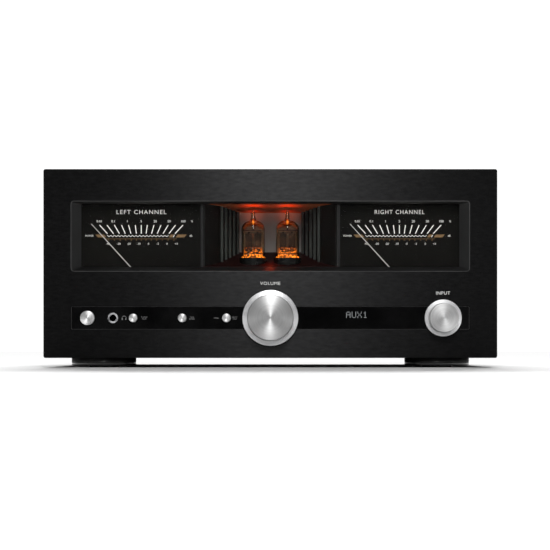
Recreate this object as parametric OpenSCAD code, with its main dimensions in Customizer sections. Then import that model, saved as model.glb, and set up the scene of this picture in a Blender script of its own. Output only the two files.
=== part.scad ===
// Integrated amplifier with two needle meters and a pair of small tubes behind the window.
// Millimetres. +Z is up, the front faces -Y, the origin is on the floor under the middle.

/* [Case] */
// Width of the front panel
panel_w = 430; // [426:1:440]
// Height of the front panel
panel_h = 179; // [177:0.5:185]
// Thickness of the front panel
panel_t = 10; // [9:0.5:11]
// Height of a foot with its pad
foot_h = 9; // [8:0.5:12]
// Depth of the case behind the front panel
case_d = 350; // [348:1:370]
// Thickness of the steel sheets
sheet_t = 2; // [1.6:0.1:2.4]
// Thickness of the side panels
side_t = 5; // [4.5:0.1:6]

/* [Window] */
// Width of the window cut-out
window_w = 378; // [376:1:382]
// Height of the window cut-out
window_h = 66.8; // [66:0.2:68]
// Height of the lower edge of the window above the floor
window_z = 91; // [90.5:0.5:92]
// Depth of the sloping bezel
bezel_d = 8; // [7:0.5:8]
// Width of the bezel's slope at the sides
bezel_side = 9.4; // [8:0.2:10]

/* [Meters] */
// Distance of each needle's pivot from the middle
meter_x = 123.4; // [122:0.2:124.4]
// Height of the pivots above the floor
pivot_z = 84.8; // [84:0.2:85.6]
// Length of a needle
needle_l = 70.4; // [66:0.2:71]
// Angle of a resting needle from the vertical
needle_rest = 42.3; // [40:0.1:44]

/* [Tubes] */
// Distance of each tube from the middle
tube_x = 16.5; // [15:0.5:18]
// Radius of a tube's glass
tube_r = 11.2; // [10:0.1:11.5]
// Height of the glass from its base to the top of the dome
tube_h = 36.7; // [34:0.1:38]
// Distance between two ribs of the alcove, across its width
rib_pitch = 3.72; // [3.5:0.02:3.9]

/* [Controls] */
// Height of the row of controls above the floor
control_z = 46.9; // [46:0.1:48]
// Radius of the volume knob's skirt
volume_r = 26.4; // [24:0.2:28]
// Length of the volume knob
volume_l = 19.4; // [17:0.2:20]
// Radius of the input knob's skirt
input_r = 17.4; // [16:0.2:19]
// Length of the input knob
input_l = 15; // [13:0.5:17]
// Radius of the power button
power_r = 6.75; // [6:0.25:7]
// Radius of the three small buttons
button_r = 4; // [3.5:0.1:4.5]
// Width of the gloss strip behind the controls
strip_w = 377.2; // [374:0.2:380]
// Height of the gloss strip
strip_h = 21.9; // [20:0.1:23]

/* [Power section] */
// Outer radius of the transformer
toroid_r = 68; // [60:1:70]
// Height of the transformer
toroid_h = 60; // [50:1:64]
// Radius of a filter capacitor
cap_r = 17.5; // [15:0.5:18]
// Number of fins on a heat sink
fin_count = 33; // [20:1:33]

/* [Hidden] */
$fn = 64;

// Tiny overrun that makes a cut pass cleanly through a face
cut = 0.5;
// Places of the main faces
front_y = -case_d / 2 - panel_t;
back_y = -case_d / 2;
rear_y = case_d / 2;
inner_rear_y = rear_y - sheet_t;
base_z = foot_h;
floor_z = base_z + sheet_t;
lid_z = base_z + panel_h - 1 - sheet_t;
case_w = panel_w - 2;
inner_w = case_w - 2 * side_t;
screw_x = case_w / 2 - side_t / 2;

// Window and bezel
window_mid_z = window_z + window_h / 2;
bezel_low = 4.5;
bezel_high = 2.3;
glass_y = front_y + bezel_d;

// Meter housings, dials and movements
housing_in = 64.2;
housing_out = 190;
housing_low = 70;
housing_high = 162;
housing_back = back_y + 35;
wall = 2.2;
dial_y = back_y + 7;
needle_y = back_y + 3.4;
movement_r = 11;

// Tube bay: half widths and heights at the mouth, at the bend and at the back
bay_mouth = 62.2;
bay_bend = 48.8;
bay_end = 30.2;
bay_bend_y = back_y + 15;
bay_end_y = back_y + 57;
bay_wall = 1.8;
bay_low = [96, 112];
bay_high = [156.6, 151.4];
tube_y = back_y + 20;
tube_base_z = 104.9;
tube_board_z = 86.6;
socket_r = 13.2;
board_t = 1.6;

// Controls
strip_y = front_y + 0.8;
pocket_y = front_y + 2;
control_board_y = back_y + 14;
shaft_r = 3;
knob_gap = 0.6;
power_x = -173.3;
jack_x = -149;
headphone_x = -129.9;
tone_x = -83.5;
menu_x = -41.6;
input_x = 163.5;
display_x = 81.9;
jack_bore_r = 3.2;
button_gap = 0.3;
switch_l = 5;

// Feet
front_foot = [161.4, -140];
rear_foot = [181.4, 130];
foot_r = 31.2;
pad_r = 14;
pad_h = 1.7;
foot_places = [for (side = [-1, 1], place = [front_foot, rear_foot]) [side * place[0], place[1]]];

// Rear connectors
rca_columns = 7;
rca_x = -155;
rca_pitch = 19;
rca_rows = [136, 158];
xlr_places = [-5, 32];
xlr_z = 147;
digital_z = 105;
optical_places = [-150, -128];
coax_x = -106;
usb_x = -82;
trigger_places = [-60, -44];
socket_back_y = inner_rear_y - 13.4;
inlet_x = 182;
inlet_z = 46;
rocker_z = 77;
rocker_y = rear_y - 2;
rocker_tilt = 9;
post_places = [-168, -140, 100, 128];
post_z = 48;
stud_r = 3.9;

// Power section
toroid_y = -65;
toroid_low = floor_z + 2;
supply_y = 55;
sink_x = 150;
sink_low_y = -120;
sink_base = 6;
fin_l = 46;
fin_t = 2;
fin_pitch = 8;
sink_h = 145;
amp_board_x = 138;
screw_rows = [-160, -80, 0, 80, 160];
rear_screws = [22, 98, 174];

// Cylinder along Y from y0 to y1
module rod_y(r, y0, y1) {
    translate([0, y0, 0]) rotate([-90, 0, 0]) cylinder(r = r, h = y1 - y0);
}

// Flat rectangle with true round corners
module rounded_rect(w, h, r) {
    square([w - 2 * r, h], center = true);
    square([w, h - 2 * r], center = true);
    for (x = [-1, 1], y = [-1, 1]) translate([x * (w / 2 - r), y * (h / 2 - r)]) circle(r);
}

// Upright rounded plate from y0 to y1
module plate_xz(w, h, r, y0, y1) {
    translate([0, y1, 0]) rotate([90, 0, 0]) linear_extrude(y1 - y0) rounded_rect(w, h, r);
}

// Box between two corners
module box(low, high) {
    translate(low) cube(high - low);
}

// Places its children at a control on the front
module at_control(x) {
    translate([x, 0, control_z]) children();
}

// Every hole that the controls need through the strip and the panel
module control_holes(y0, y1, bush_r) {
    for (x = [0, input_x]) at_control(x) rod_y(bush_r, y0, y1);
    at_control(power_x) rod_y(power_r + button_gap, y0, y1);
    for (x = [headphone_x, tone_x, menu_x]) at_control(x) rod_y(button_r + button_gap, y0, y1);
    at_control(jack_x) rod_y(4.3, y0, y1);
}

module front_panel() color([0.12, 0.12, 0.13]) {
    chamfer = 0.7;
    difference() {
        translate([0, 0, base_z + panel_h / 2]) hull() {
            plate_xz(panel_w, panel_h, 2, front_y + chamfer, back_y, $fn = 32);
            plate_xz(panel_w - 2 * chamfer, panel_h - 2 * chamfer, 1.3, front_y, back_y, $fn = 32);
        }
        translate([0, 0, window_mid_z]) plate_xz(window_w, window_h, 3, front_y - cut, back_y + cut);
        at_control(0) plate_xz(strip_w, strip_h, 1.5, front_y - cut, pocket_y);
        control_holes(front_y - cut, back_y + cut, 4.6);
        at_control(display_x) plate_xz(52, 17, 1, front_y - cut, back_y + cut);
    }
}

// Sloping frame pressed into the window
module window_bezel() color([0.16, 0.16, 0.17]) {
    lip = 0.35;
    low = window_z + bezel_low;
    high = window_z + window_h - bezel_high;
    difference() {
        translate([0, 0, window_mid_z]) plate_xz(window_w, window_h, 3, front_y, glass_y);
        hull() {
            translate([0, 0, window_mid_z])
                plate_xz(window_w - 2 * lip, window_h - 2 * lip, 2.6, front_y - 0.1, front_y, $fn = 32);
            translate([0, 0, (low + high) / 2])
                plate_xz(window_w - 2 * bezel_side, high - low, 1.2, glass_y, glass_y + 0.1, $fn = 32);
        }
    }
}

module window_glass() color([0.7, 0.75, 0.75, 0.3]) {
    translate([0, 0, window_mid_z]) plate_xz(window_w - 1, window_h - 1, 2.5, glass_y, back_y);
}

module control_strip() color([0.03, 0.03, 0.03]) {
    difference() {
        at_control(0) plate_xz(strip_w - 0.4, strip_h - 0.4, 1.3, strip_y, pocket_y);
        control_holes(strip_y - cut, pocket_y + cut, 4.8);
    }
}

// Dot display behind the strip, on its own small board
module display_module() color([0.08, 0.1, 0.1]) {
    at_control(display_x) {
        plate_xz(51, 16, 0.8, pocket_y, back_y);
        plate_xz(62, 26, 1, back_y, back_y + board_t);
    }
}

// Circuit board that carries the switches and both encoders
module control_board() color([0.1, 0.3, 0.16]) {
    low = control_z - 19;
    high = control_z + 19;
    difference() {
        box([-196, control_board_y, low], [196, control_board_y + board_t, high]);
        box([jack_x - 9.5, control_board_y - cut, control_z - 9.5],
            [jack_x + 9.5, control_board_y + board_t + cut, control_z + 9.5]);
    }
    for (x = [-190, -60, 125, 190], z = [low + 4, high - 4])
        translate([x, 0, z]) rod_y(3, back_y, control_board_y);
}

// Press switches that the buttons' stems work
module button_switches() color([0.2, 0.2, 0.21]) {
    for (x = [power_x, headphone_x, tone_x, menu_x]) at_control(x) difference() {
        box([-3.6, control_board_y - switch_l, -3.6], [3.6, control_board_y, 3.6]);
        rod_y(1.8, control_board_y - switch_l - cut, control_board_y - 1.2);
    }
}

// Rotary encoders: body, shoulder and threaded bush
module encoders() color([0.55, 0.55, 0.57]) {
    for (x = [0, input_x]) at_control(x) difference() {
        union() {
            box([-9, back_y + 2, -9], [9, control_board_y, 9]);
            rod_y(8, back_y, back_y + 2);
            rod_y(4.5, front_y + 0.5, back_y + 2);
        }
        rod_y(shaft_r + 0.05, front_y - cut, control_board_y - 2);
    }
}

module headphone_jack() color([0.75, 0.75, 0.76]) {
    at_control(jack_x) difference() {
        union() {
            rod_y(4.9, front_y - 1.4, strip_y);
            rod_y(4.2, strip_y, back_y + 1);
            box([-8, back_y, -8], [8, back_y + 24, 8]);
        }
        rod_y(jack_bore_r, front_y - 1.4 - cut, back_y + 21.6);
    }
}

// Turned knob: a wide skirt with a raised disc, bored for its shaft
module knob(x, skirt_r, disc_r, length) {
    skirt_t = 4;
    bore_r = shaft_r + 0.05;
    at_control(x) translate([0, front_y - knob_gap, 0]) rotate([90, 0, 0]) rotate_extrude($fn = 96)
        polygon([[bore_r, 0], [skirt_r - 0.6, 0], [skirt_r, 0.6], [skirt_r, skirt_t - 0.7],
                 [skirt_r - 0.7, skirt_t], [disc_r, skirt_t], [disc_r, length - 0.8],
                 [disc_r - 0.8, length], [0, length], [0, length - 5], [bore_r, length - 5]]);
}

module shaft(x, length) {
    at_control(x) rod_y(shaft_r, front_y - knob_gap - length + 5, control_board_y - 3);
}

module volume_knob() color([0.8, 0.8, 0.8]) knob(0, volume_r, volume_r - 5, volume_l);
module volume_shaft() color([0.6, 0.6, 0.62]) shaft(0, volume_l);
module input_knob() color([0.8, 0.8, 0.8]) knob(input_x, input_r, input_r - 3.8, input_l);
module input_shaft() color([0.6, 0.6, 0.62]) shaft(input_x, input_l);

// Button: cap, retaining collar behind the panel and stem that enters its switch
module button(x, r, proud) {
    collar_y = back_y + 0.4;
    at_control(x) translate([0, front_y - proud, 0]) rotate([-90, 0, 0]) rotate_extrude()
        polygon([[0, 0], [r - 0.5, 0], [r, 0.5], [r, collar_y - front_y + proud],
                 [r + 1.2, collar_y - front_y + proud], [r + 1.2, collar_y - front_y + proud + 1.2],
                 [1.5, collar_y - front_y + proud + 1.2],
                 [1.5, control_board_y - switch_l + 0.8 - front_y + proud],
                 [0, control_board_y - switch_l + 0.8 - front_y + proud]]);
}

module power_button() color([0.8, 0.8, 0.8]) button(power_x, power_r, 2.2);
module headphone_button() color([0.8, 0.8, 0.8]) button(headphone_x, button_r, 1.8);
module tone_button() color([0.8, 0.8, 0.8]) button(tone_x, button_r, 1.8);
module menu_button() color([0.8, 0.8, 0.8]) button(menu_x, button_r, 1.8);

// Moulded box behind each half of the window, with four posts that carry the dial
module meter_housings() color([0.07, 0.07, 0.07]) {
    for (side = [-1, 1]) mirror([side < 0 ? 1 : 0, 0, 0]) {
        difference() {
            box([housing_in, back_y, housing_low], [housing_out, housing_back, housing_high]);
            box([housing_in + wall, back_y - cut, housing_low + wall],
                [housing_out - wall, housing_back - wall, housing_high - wall]);
        }
        for (x = [housing_in + 6, housing_out - 6], z = [housing_low + 6, housing_high - 6])
            translate([x, 0, z]) rod_y(3, dial_y + 1, housing_back - wall);
    }
}

// Printed plate with a hole for the pivot
module meter_dial(side) {
    mirror([side < 0 ? 1 : 0, 0, 0]) difference() {
        box([housing_in + wall, dial_y, housing_low + wall],
            [housing_out - wall, dial_y + 1, housing_high - wall]);
        translate([meter_x, 0, pivot_z]) rod_y(2.2, dial_y - cut, dial_y + 1 + cut);
    }
}

module left_meter_dial() color([0.1, 0.09, 0.08]) meter_dial(-1);
module right_meter_dial() color([0.1, 0.09, 0.08]) meter_dial(1);

// Moving-coil movements: magnet pot with a bearing hole for the needle's pivot
module meter_movements() color([0.5, 0.5, 0.52]) {
    for (side = [-1, 1]) translate([side * meter_x, 0, pivot_z]) difference() {
        union() {
            rod_y(movement_r, dial_y + 5, housing_back - wall);
            rod_y(4, dial_y + 3, dial_y + 5);
        }
        rod_y(0.7, dial_y, housing_back - 9);
    }
}

// Needle with hub, tail weight and pivot pin, drawn at zero
module meter_needle(side) {
    translate([side * meter_x, 0, pivot_z]) rotate([0, -needle_rest, 0]) {
        translate([0, needle_y + 0.5, 0]) rotate([90, 0, 0]) linear_extrude(0.5)
            polygon([[-0.5, -9], [0.5, -9], [0.42, 0], [0.24, needle_l], [-0.24, needle_l], [-0.42, 0]]);
        rod_y(3.4, needle_y - 0.7, needle_y + 1.2);
        translate([0, 0, -8]) rod_y(2, needle_y - 0.3, needle_y + 0.8);
        rod_y(0.6, needle_y, housing_back - 11);
    }
}

module left_meter_needle() color([0.85, 0.85, 0.85]) meter_needle(-1);
module right_meter_needle() color([0.85, 0.85, 0.85]) meter_needle(1);

// Height of the bay's sloping floor and ceiling at a depth y
function along_bay(y) = (y - back_y) / (bay_end_y - back_y);
function bay_floor(y) = bay_low[0] + (bay_low[1] - bay_low[0]) * along_bay(y);
function bay_ceiling(y) = bay_high[0] + (bay_high[1] - bay_high[0]) * along_bay(y);

// Funnel shape of the bay, grown outwards by t
module bay_funnel(t, front) {
    intersection() {
        translate([0, 0, 60]) linear_extrude(120) polygon([
            [-bay_mouth - t, front], [-bay_mouth - t, back_y], [-bay_bend - t, bay_bend_y],
            [-bay_end - t, bay_end_y + t], [bay_end + t, bay_end_y + t],
            [bay_bend + t, bay_bend_y], [bay_mouth + t, back_y], [bay_mouth + t, front]]);
        translate([-90, 0, 0]) rotate([90, 0, 90]) linear_extrude(180) polygon([
            [front, bay_low[0] - t], [back_y, bay_low[0] - t], [bay_end_y + t, bay_low[1] - t],
            [bay_end_y + t, bay_high[1] + t], [back_y, bay_high[0] + t], [front, bay_high[0] + t]]);
    }
}

// Alcove for the tubes: splayed walls with upright ribs, rising floor, posts for the tube board
module tube_bay() color([0.3, 0.3, 0.3]) {
    slope = (bay_end_y - bay_bend_y) / (bay_bend - bay_end);
    difference() {
        bay_funnel(bay_wall, back_y);
        bay_funnel(0, back_y - cut);
        for (side = [-1, 1]) translate([side * tube_x, tube_y, tube_board_z])
            cylinder(r = socket_r + 0.2, h = 25);
    }
    for (side = [-1, 1]) {
        for (i = [0:4]) {
            x = bay_bend - 2.3 - rib_pitch * i;
            y = bay_bend_y + slope * (bay_bend - x);
            box([side * x - 1.15, y - 3, bay_floor(y) - 1], [side * x + 1.15, y + 2, bay_ceiling(y) + 1]);
        }
        for (place = [[45, 5], [28, 46]]) {
            y = back_y + place[1];
            translate([side * place[0], y, tube_board_z])
                cylinder(r = 2.5, h = bay_floor(y) - 1 - tube_board_z, $fn = 24);
        }
    }
}

// Nine pins of one tube
module tube_pins(r, z0, z1) {
    for (i = [0:8]) rotate([0, 0, 36 * i]) translate([6, 0, z0]) cylinder(r = r, h = z1 - z0, $fn = 16);
}

// Outline of a tube's dome with the sealed tip
function tube_outline(r, h, tip) = concat(
    [[0, 0], [r, 0]],
    [for (a = [0:15:75]) [r * cos(a), h - r * 0.75 + r * 0.75 * sin(a)]],
    [[tip, h + 1.5], [tip * 0.7, h + 6], [tip * 0.35, h + 9.5], [0, h + 10.2]]);

module tube_glass(side) {
    translate([side * tube_x, tube_y, tube_base_z]) difference() {
        rotate_extrude() polygon(tube_outline(tube_r, tube_h, 2.4));
        translate([0, 0, 1.5]) rotate_extrude() polygon(tube_outline(tube_r - 0.9, tube_h - 2.4, 1.2));
        tube_pins(0.6, -cut, 2);
    }
}

module left_tube_glass() color([0.8, 0.75, 0.65, 0.4]) tube_glass(-1);
module right_tube_glass() color([0.8, 0.75, 0.65, 0.4]) tube_glass(1);

// Two triode systems between mica discs, with support rods, getter ring and pins
module tube_electrodes() color([0.35, 0.35, 0.37]) {
    for (side = [-1, 1]) translate([side * tube_x, tube_y, tube_base_z]) {
        tube_pins(0.5, -8, 4);
        for (z = [4, 26]) translate([0, 0, z]) cylinder(r = 9, h = 0.6);
        for (x = [-1, 1]) translate([4.3 * x, 0, 4.6]) {
            translate([-3.2, -4, 2]) cube([6.4, 8, 17]);
            cylinder(r = 0.9, h = 21.4, $fn = 24);
        }
        translate([0, 0, 26.6]) cylinder(r = 0.6, h = 5, $fn = 16);
        translate([0, 0, 31.2]) difference() {
            cylinder(r = 5, h = 1);
            translate([0, 0, -cut]) cylinder(r = 3.8, h = 2);
        }
        translate([-4.4, -0.5, 31.2]) cube([8.8, 1, 0.8]);
    }
}

module tube_sockets() color([0.06, 0.06, 0.06]) {
    for (side = [-1, 1]) translate([side * tube_x, tube_y, 0]) difference() {
        translate([0, 0, tube_board_z]) cylinder(r = socket_r, h = tube_base_z - tube_board_z);
        translate([0, 0, tube_board_z - cut]) cylinder(r = 3, h = 30);
        tube_pins(0.7, tube_base_z - 9, tube_base_z + 1);
    }
}

module tube_board() color([0.1, 0.3, 0.16]) {
    box([-50, back_y + 1.5, tube_board_z - board_t], [50, back_y + 52, tube_board_z]);
}

// Hole for a countersunk screw that points down, through a sheet whose face is at the origin
module flat_screw_hole() {
    translate([0, 0, -sheet_t - cut]) cylinder(r = 1.5, h = sheet_t + 2 * cut);
    translate([0, 0, -1]) cylinder(r1 = 1.5, r2 = 2.55, h = 1 + cut);
}

module chassis_base() color([0.15, 0.15, 0.16]) {
    difference() {
        box([-case_w / 2, back_y, base_z], [case_w / 2, inner_rear_y, floor_z]);
        for (place = foot_places) translate([place[0], place[1], base_z - cut]) cylinder(r = 2.2, h = 4);
        for (side = [-1, 1], y = screw_rows)
            translate([side * screw_x, y, base_z]) mirror([0, 0, 1]) flat_screw_hole();
        for (side = [-1, 1], i = [0:11])
            translate([side * 178 - 20, -70 + 12 * i, base_z - cut]) cube([40, 3.5, 4]);
    }
}

// Side panel with tapped holes in its edges
module side_panel(side) {
    mirror([side < 0 ? 1 : 0, 0, 0]) difference() {
        box([inner_w / 2, back_y, floor_z], [case_w / 2, inner_rear_y, lid_z]);
        for (y = screw_rows, z = [floor_z - cut, lid_z - 9]) translate([screw_x, y, z])
            cylinder(r = 1.35, h = 9 + cut);
        for (z = rear_screws) translate([screw_x, 0, z]) rod_y(1.6, inner_rear_y - 9, inner_rear_y + cut);
    }
}

module left_side_panel() color([0.14, 0.14, 0.15]) side_panel(-1);
module right_side_panel() color([0.14, 0.14, 0.15]) side_panel(1);

// Lid with cooling slots over the heat sinks and the power section
module top_cover() color([0.14, 0.14, 0.15]) {
    difference() {
        box([-case_w / 2, back_y, lid_z], [case_w / 2, inner_rear_y, lid_z + sheet_t]);
        for (side = [-1, 1], y = screw_rows)
            translate([side * screw_x, y, lid_z + sheet_t]) flat_screw_hole();
        for (side = [-1, 1], i = [0:27])
            translate([side * 174 - 25, -120 + 9 * i, lid_z - cut]) cube([50, 3.5, 4]);
        for (i = [0:13]) translate([-35, -40 + 9 * i, lid_z - cut]) cube([70, 3.5, 4]);
    }
}

// Round necks of the phono-type sockets, as a list of places
rca_places = concat(
    [for (i = [0:rca_columns - 1], z = rca_rows) [rca_x + rca_pitch * i, z]],
    [[coax_x, digital_z]]);

module rear_panel() color([0.15, 0.15, 0.16]) {
    y0 = inner_rear_y - cut;
    y1 = rear_y + cut;
    difference() {
        box([-case_w / 2, inner_rear_y, base_z], [case_w / 2, rear_y, lid_z + sheet_t]);
        for (place = rca_places) translate([place[0], 0, place[1]]) rod_y(4.9, y0, y1);
        for (x = xlr_places) translate([x, 0, xlr_z]) rod_y(11.4, y0, y1);
        for (x = optical_places) translate([x, 0, digital_z]) plate_xz(10.2, 10.2, 0.5, y0, y1);
        translate([usb_x, 0, digital_z]) plate_xz(12.2, 11.2, 0.5, y0, y1);
        for (x = trigger_places) translate([x, 0, digital_z]) rod_y(3.2, y0, y1);
        translate([inlet_x, 0, 60]) plate_xz(28.4, 58.4, 1, y0, y1);
        for (x = post_places) translate([x, 0, post_z]) rod_y(5.2, y0, y1);
        for (side = [-1, 1], z = rear_screws) translate([side * screw_x, 0, z]) rod_y(1.7, y0, y1);
    }
}

// Turned feet with a rounded lower edge and a counterbore for the screw
module feet() color([0.03, 0.03, 0.03]) {
    round_r = 0.9;
    for (place = foot_places) translate([place[0], place[1], 0]) difference() {
        rotate_extrude($fn = 96) polygon(concat(
            [[0, pad_h]],
            [for (a = [0:15:90]) [foot_r - round_r + round_r * sin(a), pad_h + round_r - round_r * cos(a)]],
            [[foot_r, base_z - 0.8], [foot_r - 0.8, base_z], [0, base_z]]));
        translate([0, 0, pad_h - cut]) cylinder(r = 4.5, h = 3.3 + cut);
        cylinder(r = 2.2, h = base_z + cut);
    }
}

module foot_pads() color([0.12, 0.12, 0.12]) {
    for (place = foot_places) translate([place[0], place[1], 0]) cylinder(r = pad_r, h = pad_h);
}

// Countersunk screw pointing down from the origin
module flat_screw() {
    translate([0, 0, -1]) cylinder(r1 = 1.4, r2 = 2.1, h = 1);
    translate([0, 0, -8]) cylinder(r = 1.25, h = 7.5);
}

// Lid, base, rear and foot screws
module screws() color([0.3, 0.3, 0.31]) {
    for (side = [-1, 1], y = screw_rows) translate([side * screw_x, y, 0]) {
        translate([0, 0, lid_z + sheet_t]) flat_screw();
        translate([0, 0, base_z]) mirror([0, 0, 1]) flat_screw();
    }
    for (side = [-1, 1], z = rear_screws) translate([side * screw_x, 0, z]) {
        rod_y(2.45, rear_y, rear_y + 1.6);
        rod_y(1.5, inner_rear_y - 7, rear_y);
    }
    for (place = foot_places) translate([place[0], place[1], pad_h + 0.2]) {
        cylinder(r = 4, h = 3.1);
        cylinder(r = 2, h = floor_z - pad_h - 0.4);
    }
}

// Wound ring with rounded shoulders
module toroid_transformer() color([0.55, 0.3, 0.08]) {
    shoulder = 12;
    hole_r = 20;
    translate([0, toroid_y, toroid_low]) rotate_extrude($fn = 96) polygon(concat(
        [for (a = [0:15:90]) [hole_r + shoulder - shoulder * cos(a), shoulder - shoulder * sin(a)]],
        [for (a = [0:15:90]) [toroid_r - shoulder + shoulder * sin(a), shoulder - shoulder * cos(a)]],
        [for (a = [0:15:90]) [toroid_r - shoulder + shoulder * cos(a),
                              toroid_h - shoulder + shoulder * sin(a)]],
        [for (a = [0:15:90]) [hole_r + shoulder - shoulder * sin(a),
                              toroid_h - shoulder + shoulder * cos(a)]]));
}

// Lower cushion, dished upper plate and centre bolt
module transformer_clamp() color([0.5, 0.5, 0.52]) {
    top = toroid_low + toroid_h;
    translate([0, toroid_y, 0]) {
        translate([0, 0, floor_z]) cylinder(r = 50, h = 2);
        translate([0, 0, top]) cylinder(r = 42, h = 2);
        translate([0, 0, floor_z]) cylinder(r = 4, h = top + 8 - floor_z);
        translate([0, 0, top + 2]) cylinder(r = 7.5, h = 5, $fn = 6);
    }
}

// Board with rectifier, fuses and four standoffs
module power_supply_board() color([0.1, 0.3, 0.16]) {
    low = floor_z + 7;
    box([-85, supply_y - 40, low], [85, supply_y + 40, low + board_t]);
    for (x = [-80, 80], y = [supply_y - 35, supply_y + 35])
        translate([x, y, floor_z]) cylinder(r = 3, h = 7, $fn = 24);
    box([-14, supply_y + 22, low + board_t], [14, supply_y + 30, low + 24]);
    for (x = [-60, -40, 40, 60]) box([x - 3, supply_y + 22, low + board_t], [x + 3, supply_y + 36, low + 11]);
}

module filter_capacitors() color([0.08, 0.12, 0.3]) {
    for (x = [-60, -20, 20, 60]) translate([x, supply_y - 6, floor_z + 7 + board_t]) {
        cylinder(r = cap_r, h = 55);
        cylinder(r = cap_r - 1, h = 56);
    }
}

// Extruded heat sink: base plate with outward fins
module heat_sink(side) {
    mirror([side < 0 ? 1 : 0, 0, 0]) translate([sink_x, sink_low_y, floor_z]) linear_extrude(sink_h) {
        square([sink_base, fin_pitch * (fin_count - 1) + fin_t]);
        for (i = [0:fin_count - 1]) translate([0, fin_pitch * i]) square([sink_base + fin_l, fin_t]);
    }
}

module left_heat_sink() color([0.12, 0.12, 0.12]) heat_sink(-1);
module right_heat_sink() color([0.12, 0.12, 0.12]) heat_sink(1);

// Output transistors against the sinks, with their legs in the amplifier boards
module output_transistors() color([0.05, 0.05, 0.05]) {
    for (side = [-1, 1], i = [0:3]) mirror([side < 0 ? 1 : 0, 0, 0])
        translate([sink_x, -75 + 50 * i, 60]) {
            box([-5, -8, 0], [0, 8, 21]);
            for (y = [-5.4, 0, 5.4]) box([-(sink_x - amp_board_x), y - 0.6, 4], [-5, y + 0.6, 4.8]);
        }
}

module amplifier_boards() color([0.1, 0.3, 0.16]) {
    for (side = [-1, 1]) mirror([side < 0 ? 1 : 0, 0, 0]) {
        x = amp_board_x;
        box([x - board_t, -95, 30], [x, 105, 130]);
        for (y = [-90, 100], z = [35, 125]) translate([x, y, z]) rotate([0, 90, 0])
            cylinder(r = 3, h = sink_x - x, $fn = 24);
        for (i = [0:3]) box([x - board_t - 5, -90 + 50 * i, 90], [x - board_t, -65 + 50 * i, 96]);
        for (y = [-40, 50]) translate([x - board_t - 24, y, 110]) rotate([0, 90, 0]) cylinder(r = 8, h = 24);
    }
}

// Board that carries every signal socket, with a row of relays
module input_board() color([0.1, 0.3, 0.16]) {
    box([-168, socket_back_y - board_t, 95], [52, socket_back_y, 172]);
    for (i = [0:6]) {
        x = rca_x + rca_pitch * i;
        box([x - 5, socket_back_y - board_t - 10, 116], [x + 5, socket_back_y - board_t, 126]);
    }
}

// One phono-type socket: body, neck, flange and barrel with its contact hole
module rca_socket() {
    difference() {
        union() {
            box([-5.5, socket_back_y, -5.5], [5.5, inner_rear_y, 5.5]);
            rod_y(4.7, inner_rear_y, rear_y);
            rod_y(6.5, rear_y, rear_y + 1.5);
            rod_y(4.15, rear_y + 1.5, rear_y + 10);
        }
        rod_y(1.6, rear_y + 1, rear_y + 10 + cut);
    }
}

module rca_sockets() color([0.8, 0.68, 0.35]) {
    for (place = rca_places) translate([place[0], 0, place[1]]) rca_socket();
}

// Round three-pole sockets
module xlr_sockets() color([0.1, 0.1, 0.1]) {
    for (x = xlr_places) translate([x, 0, xlr_z]) difference() {
        union() {
            plate_xz(26, 31, 3, rear_y, rear_y + 2);
            rod_y(11.2, socket_back_y, rear_y);
        }
        difference() {
            rod_y(9.6, rear_y - 10, rear_y + 2 + cut);
            rod_y(7.9, rear_y - 11, rear_y + 3);
        }
        for (a = [-45, 90, 225]) rotate([0, -a, 0]) translate([5, 0, 0])
            rod_y(1.3, rear_y - 9, rear_y + 2 + cut);
    }
}

// Optical sockets with dust caps, computer socket and trigger jacks
module digital_sockets() color([0.12, 0.12, 0.13]) {
    translate([0, 0, digital_z]) {
        for (x = optical_places) translate([x, 0, 0]) {
            plate_xz(9.8, 9.8, 0.5, socket_back_y, rear_y + 1);
            plate_xz(6, 6, 1, rear_y + 1, rear_y + 7);
        }
        translate([usb_x, 0, 0]) difference() {
            plate_xz(11.8, 10.8, 0.5, socket_back_y, rear_y + 1);
            difference() {
                plate_xz(9, 8.2, 0.8, rear_y - 8, rear_y + 1 + cut);
                plate_xz(5.6, 3.2, 0.3, rear_y - 9, rear_y + 0.4);
            }
        }
        for (x = trigger_places) translate([x, 0, 0]) difference() {
            union() {
                box([-5, socket_back_y, -5], [5, inner_rear_y, 5]);
                rod_y(3, inner_rear_y, rear_y + 1.6);
            }
            rod_y(1.8, inner_rear_y - 10, rear_y + 1.6 + cut);
        }
    }
}

// Moulded mains inlet with three blades and the bay of the rocker switch above it
module power_inlet() color([0.06, 0.06, 0.06]) {
    translate([inlet_x, 0, 0]) {
        difference() {
            union() {
                translate([0, 0, 60]) plate_xz(33, 66, 2, rear_y, rear_y + 2.5);
                translate([0, 0, 60]) plate_xz(28, 58, 1, rear_y - 25, rear_y);
            }
            translate([0, rear_y + 2.5 + cut, inlet_z]) rotate([90, 0, 0]) linear_extrude(18)
                polygon([[-12, -8.3], [12, -8.3], [12, 4.3], [8, 8.3], [-8, 8.3], [-12, 4.3]]);
            box([-6.7, rocker_y - 9, rocker_z - 9.9], [6.7, rear_y + 2.5 + cut, rocker_z + 9.9]);
        }
        for (pin = [[-7, -1.5], [0, 2.5], [7, -1.5]])
            translate([pin[0], 0, inlet_z + pin[1]]) box([-1, rear_y - 16, -2], [1, rear_y - 1, 2]);
        for (x = [-1, 1]) translate([x * 6.7, 0, rocker_z]) rotate([0, 90, 0])
            translate([0, rocker_y, x > 0 ? -0.3 : 0]) cylinder(r = 0.9, h = 0.3, $fn = 24);
    }
}

// Rocker seen from the side as a shallow V, drawn with its lower end pressed
module mains_rocker() color([0.08, 0.08, 0.08]) {
    half = 6.3;
    translate([inlet_x - half, rocker_y, rocker_z]) rotate([-rocker_tilt, 0, 0])
        rotate([90, 0, 90]) linear_extrude(2 * half)
            polygon([[6.4, -8.6], [4.4, 0], [6.4, 8.6], [-3, 6], [-3, -6]]);
}

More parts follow.
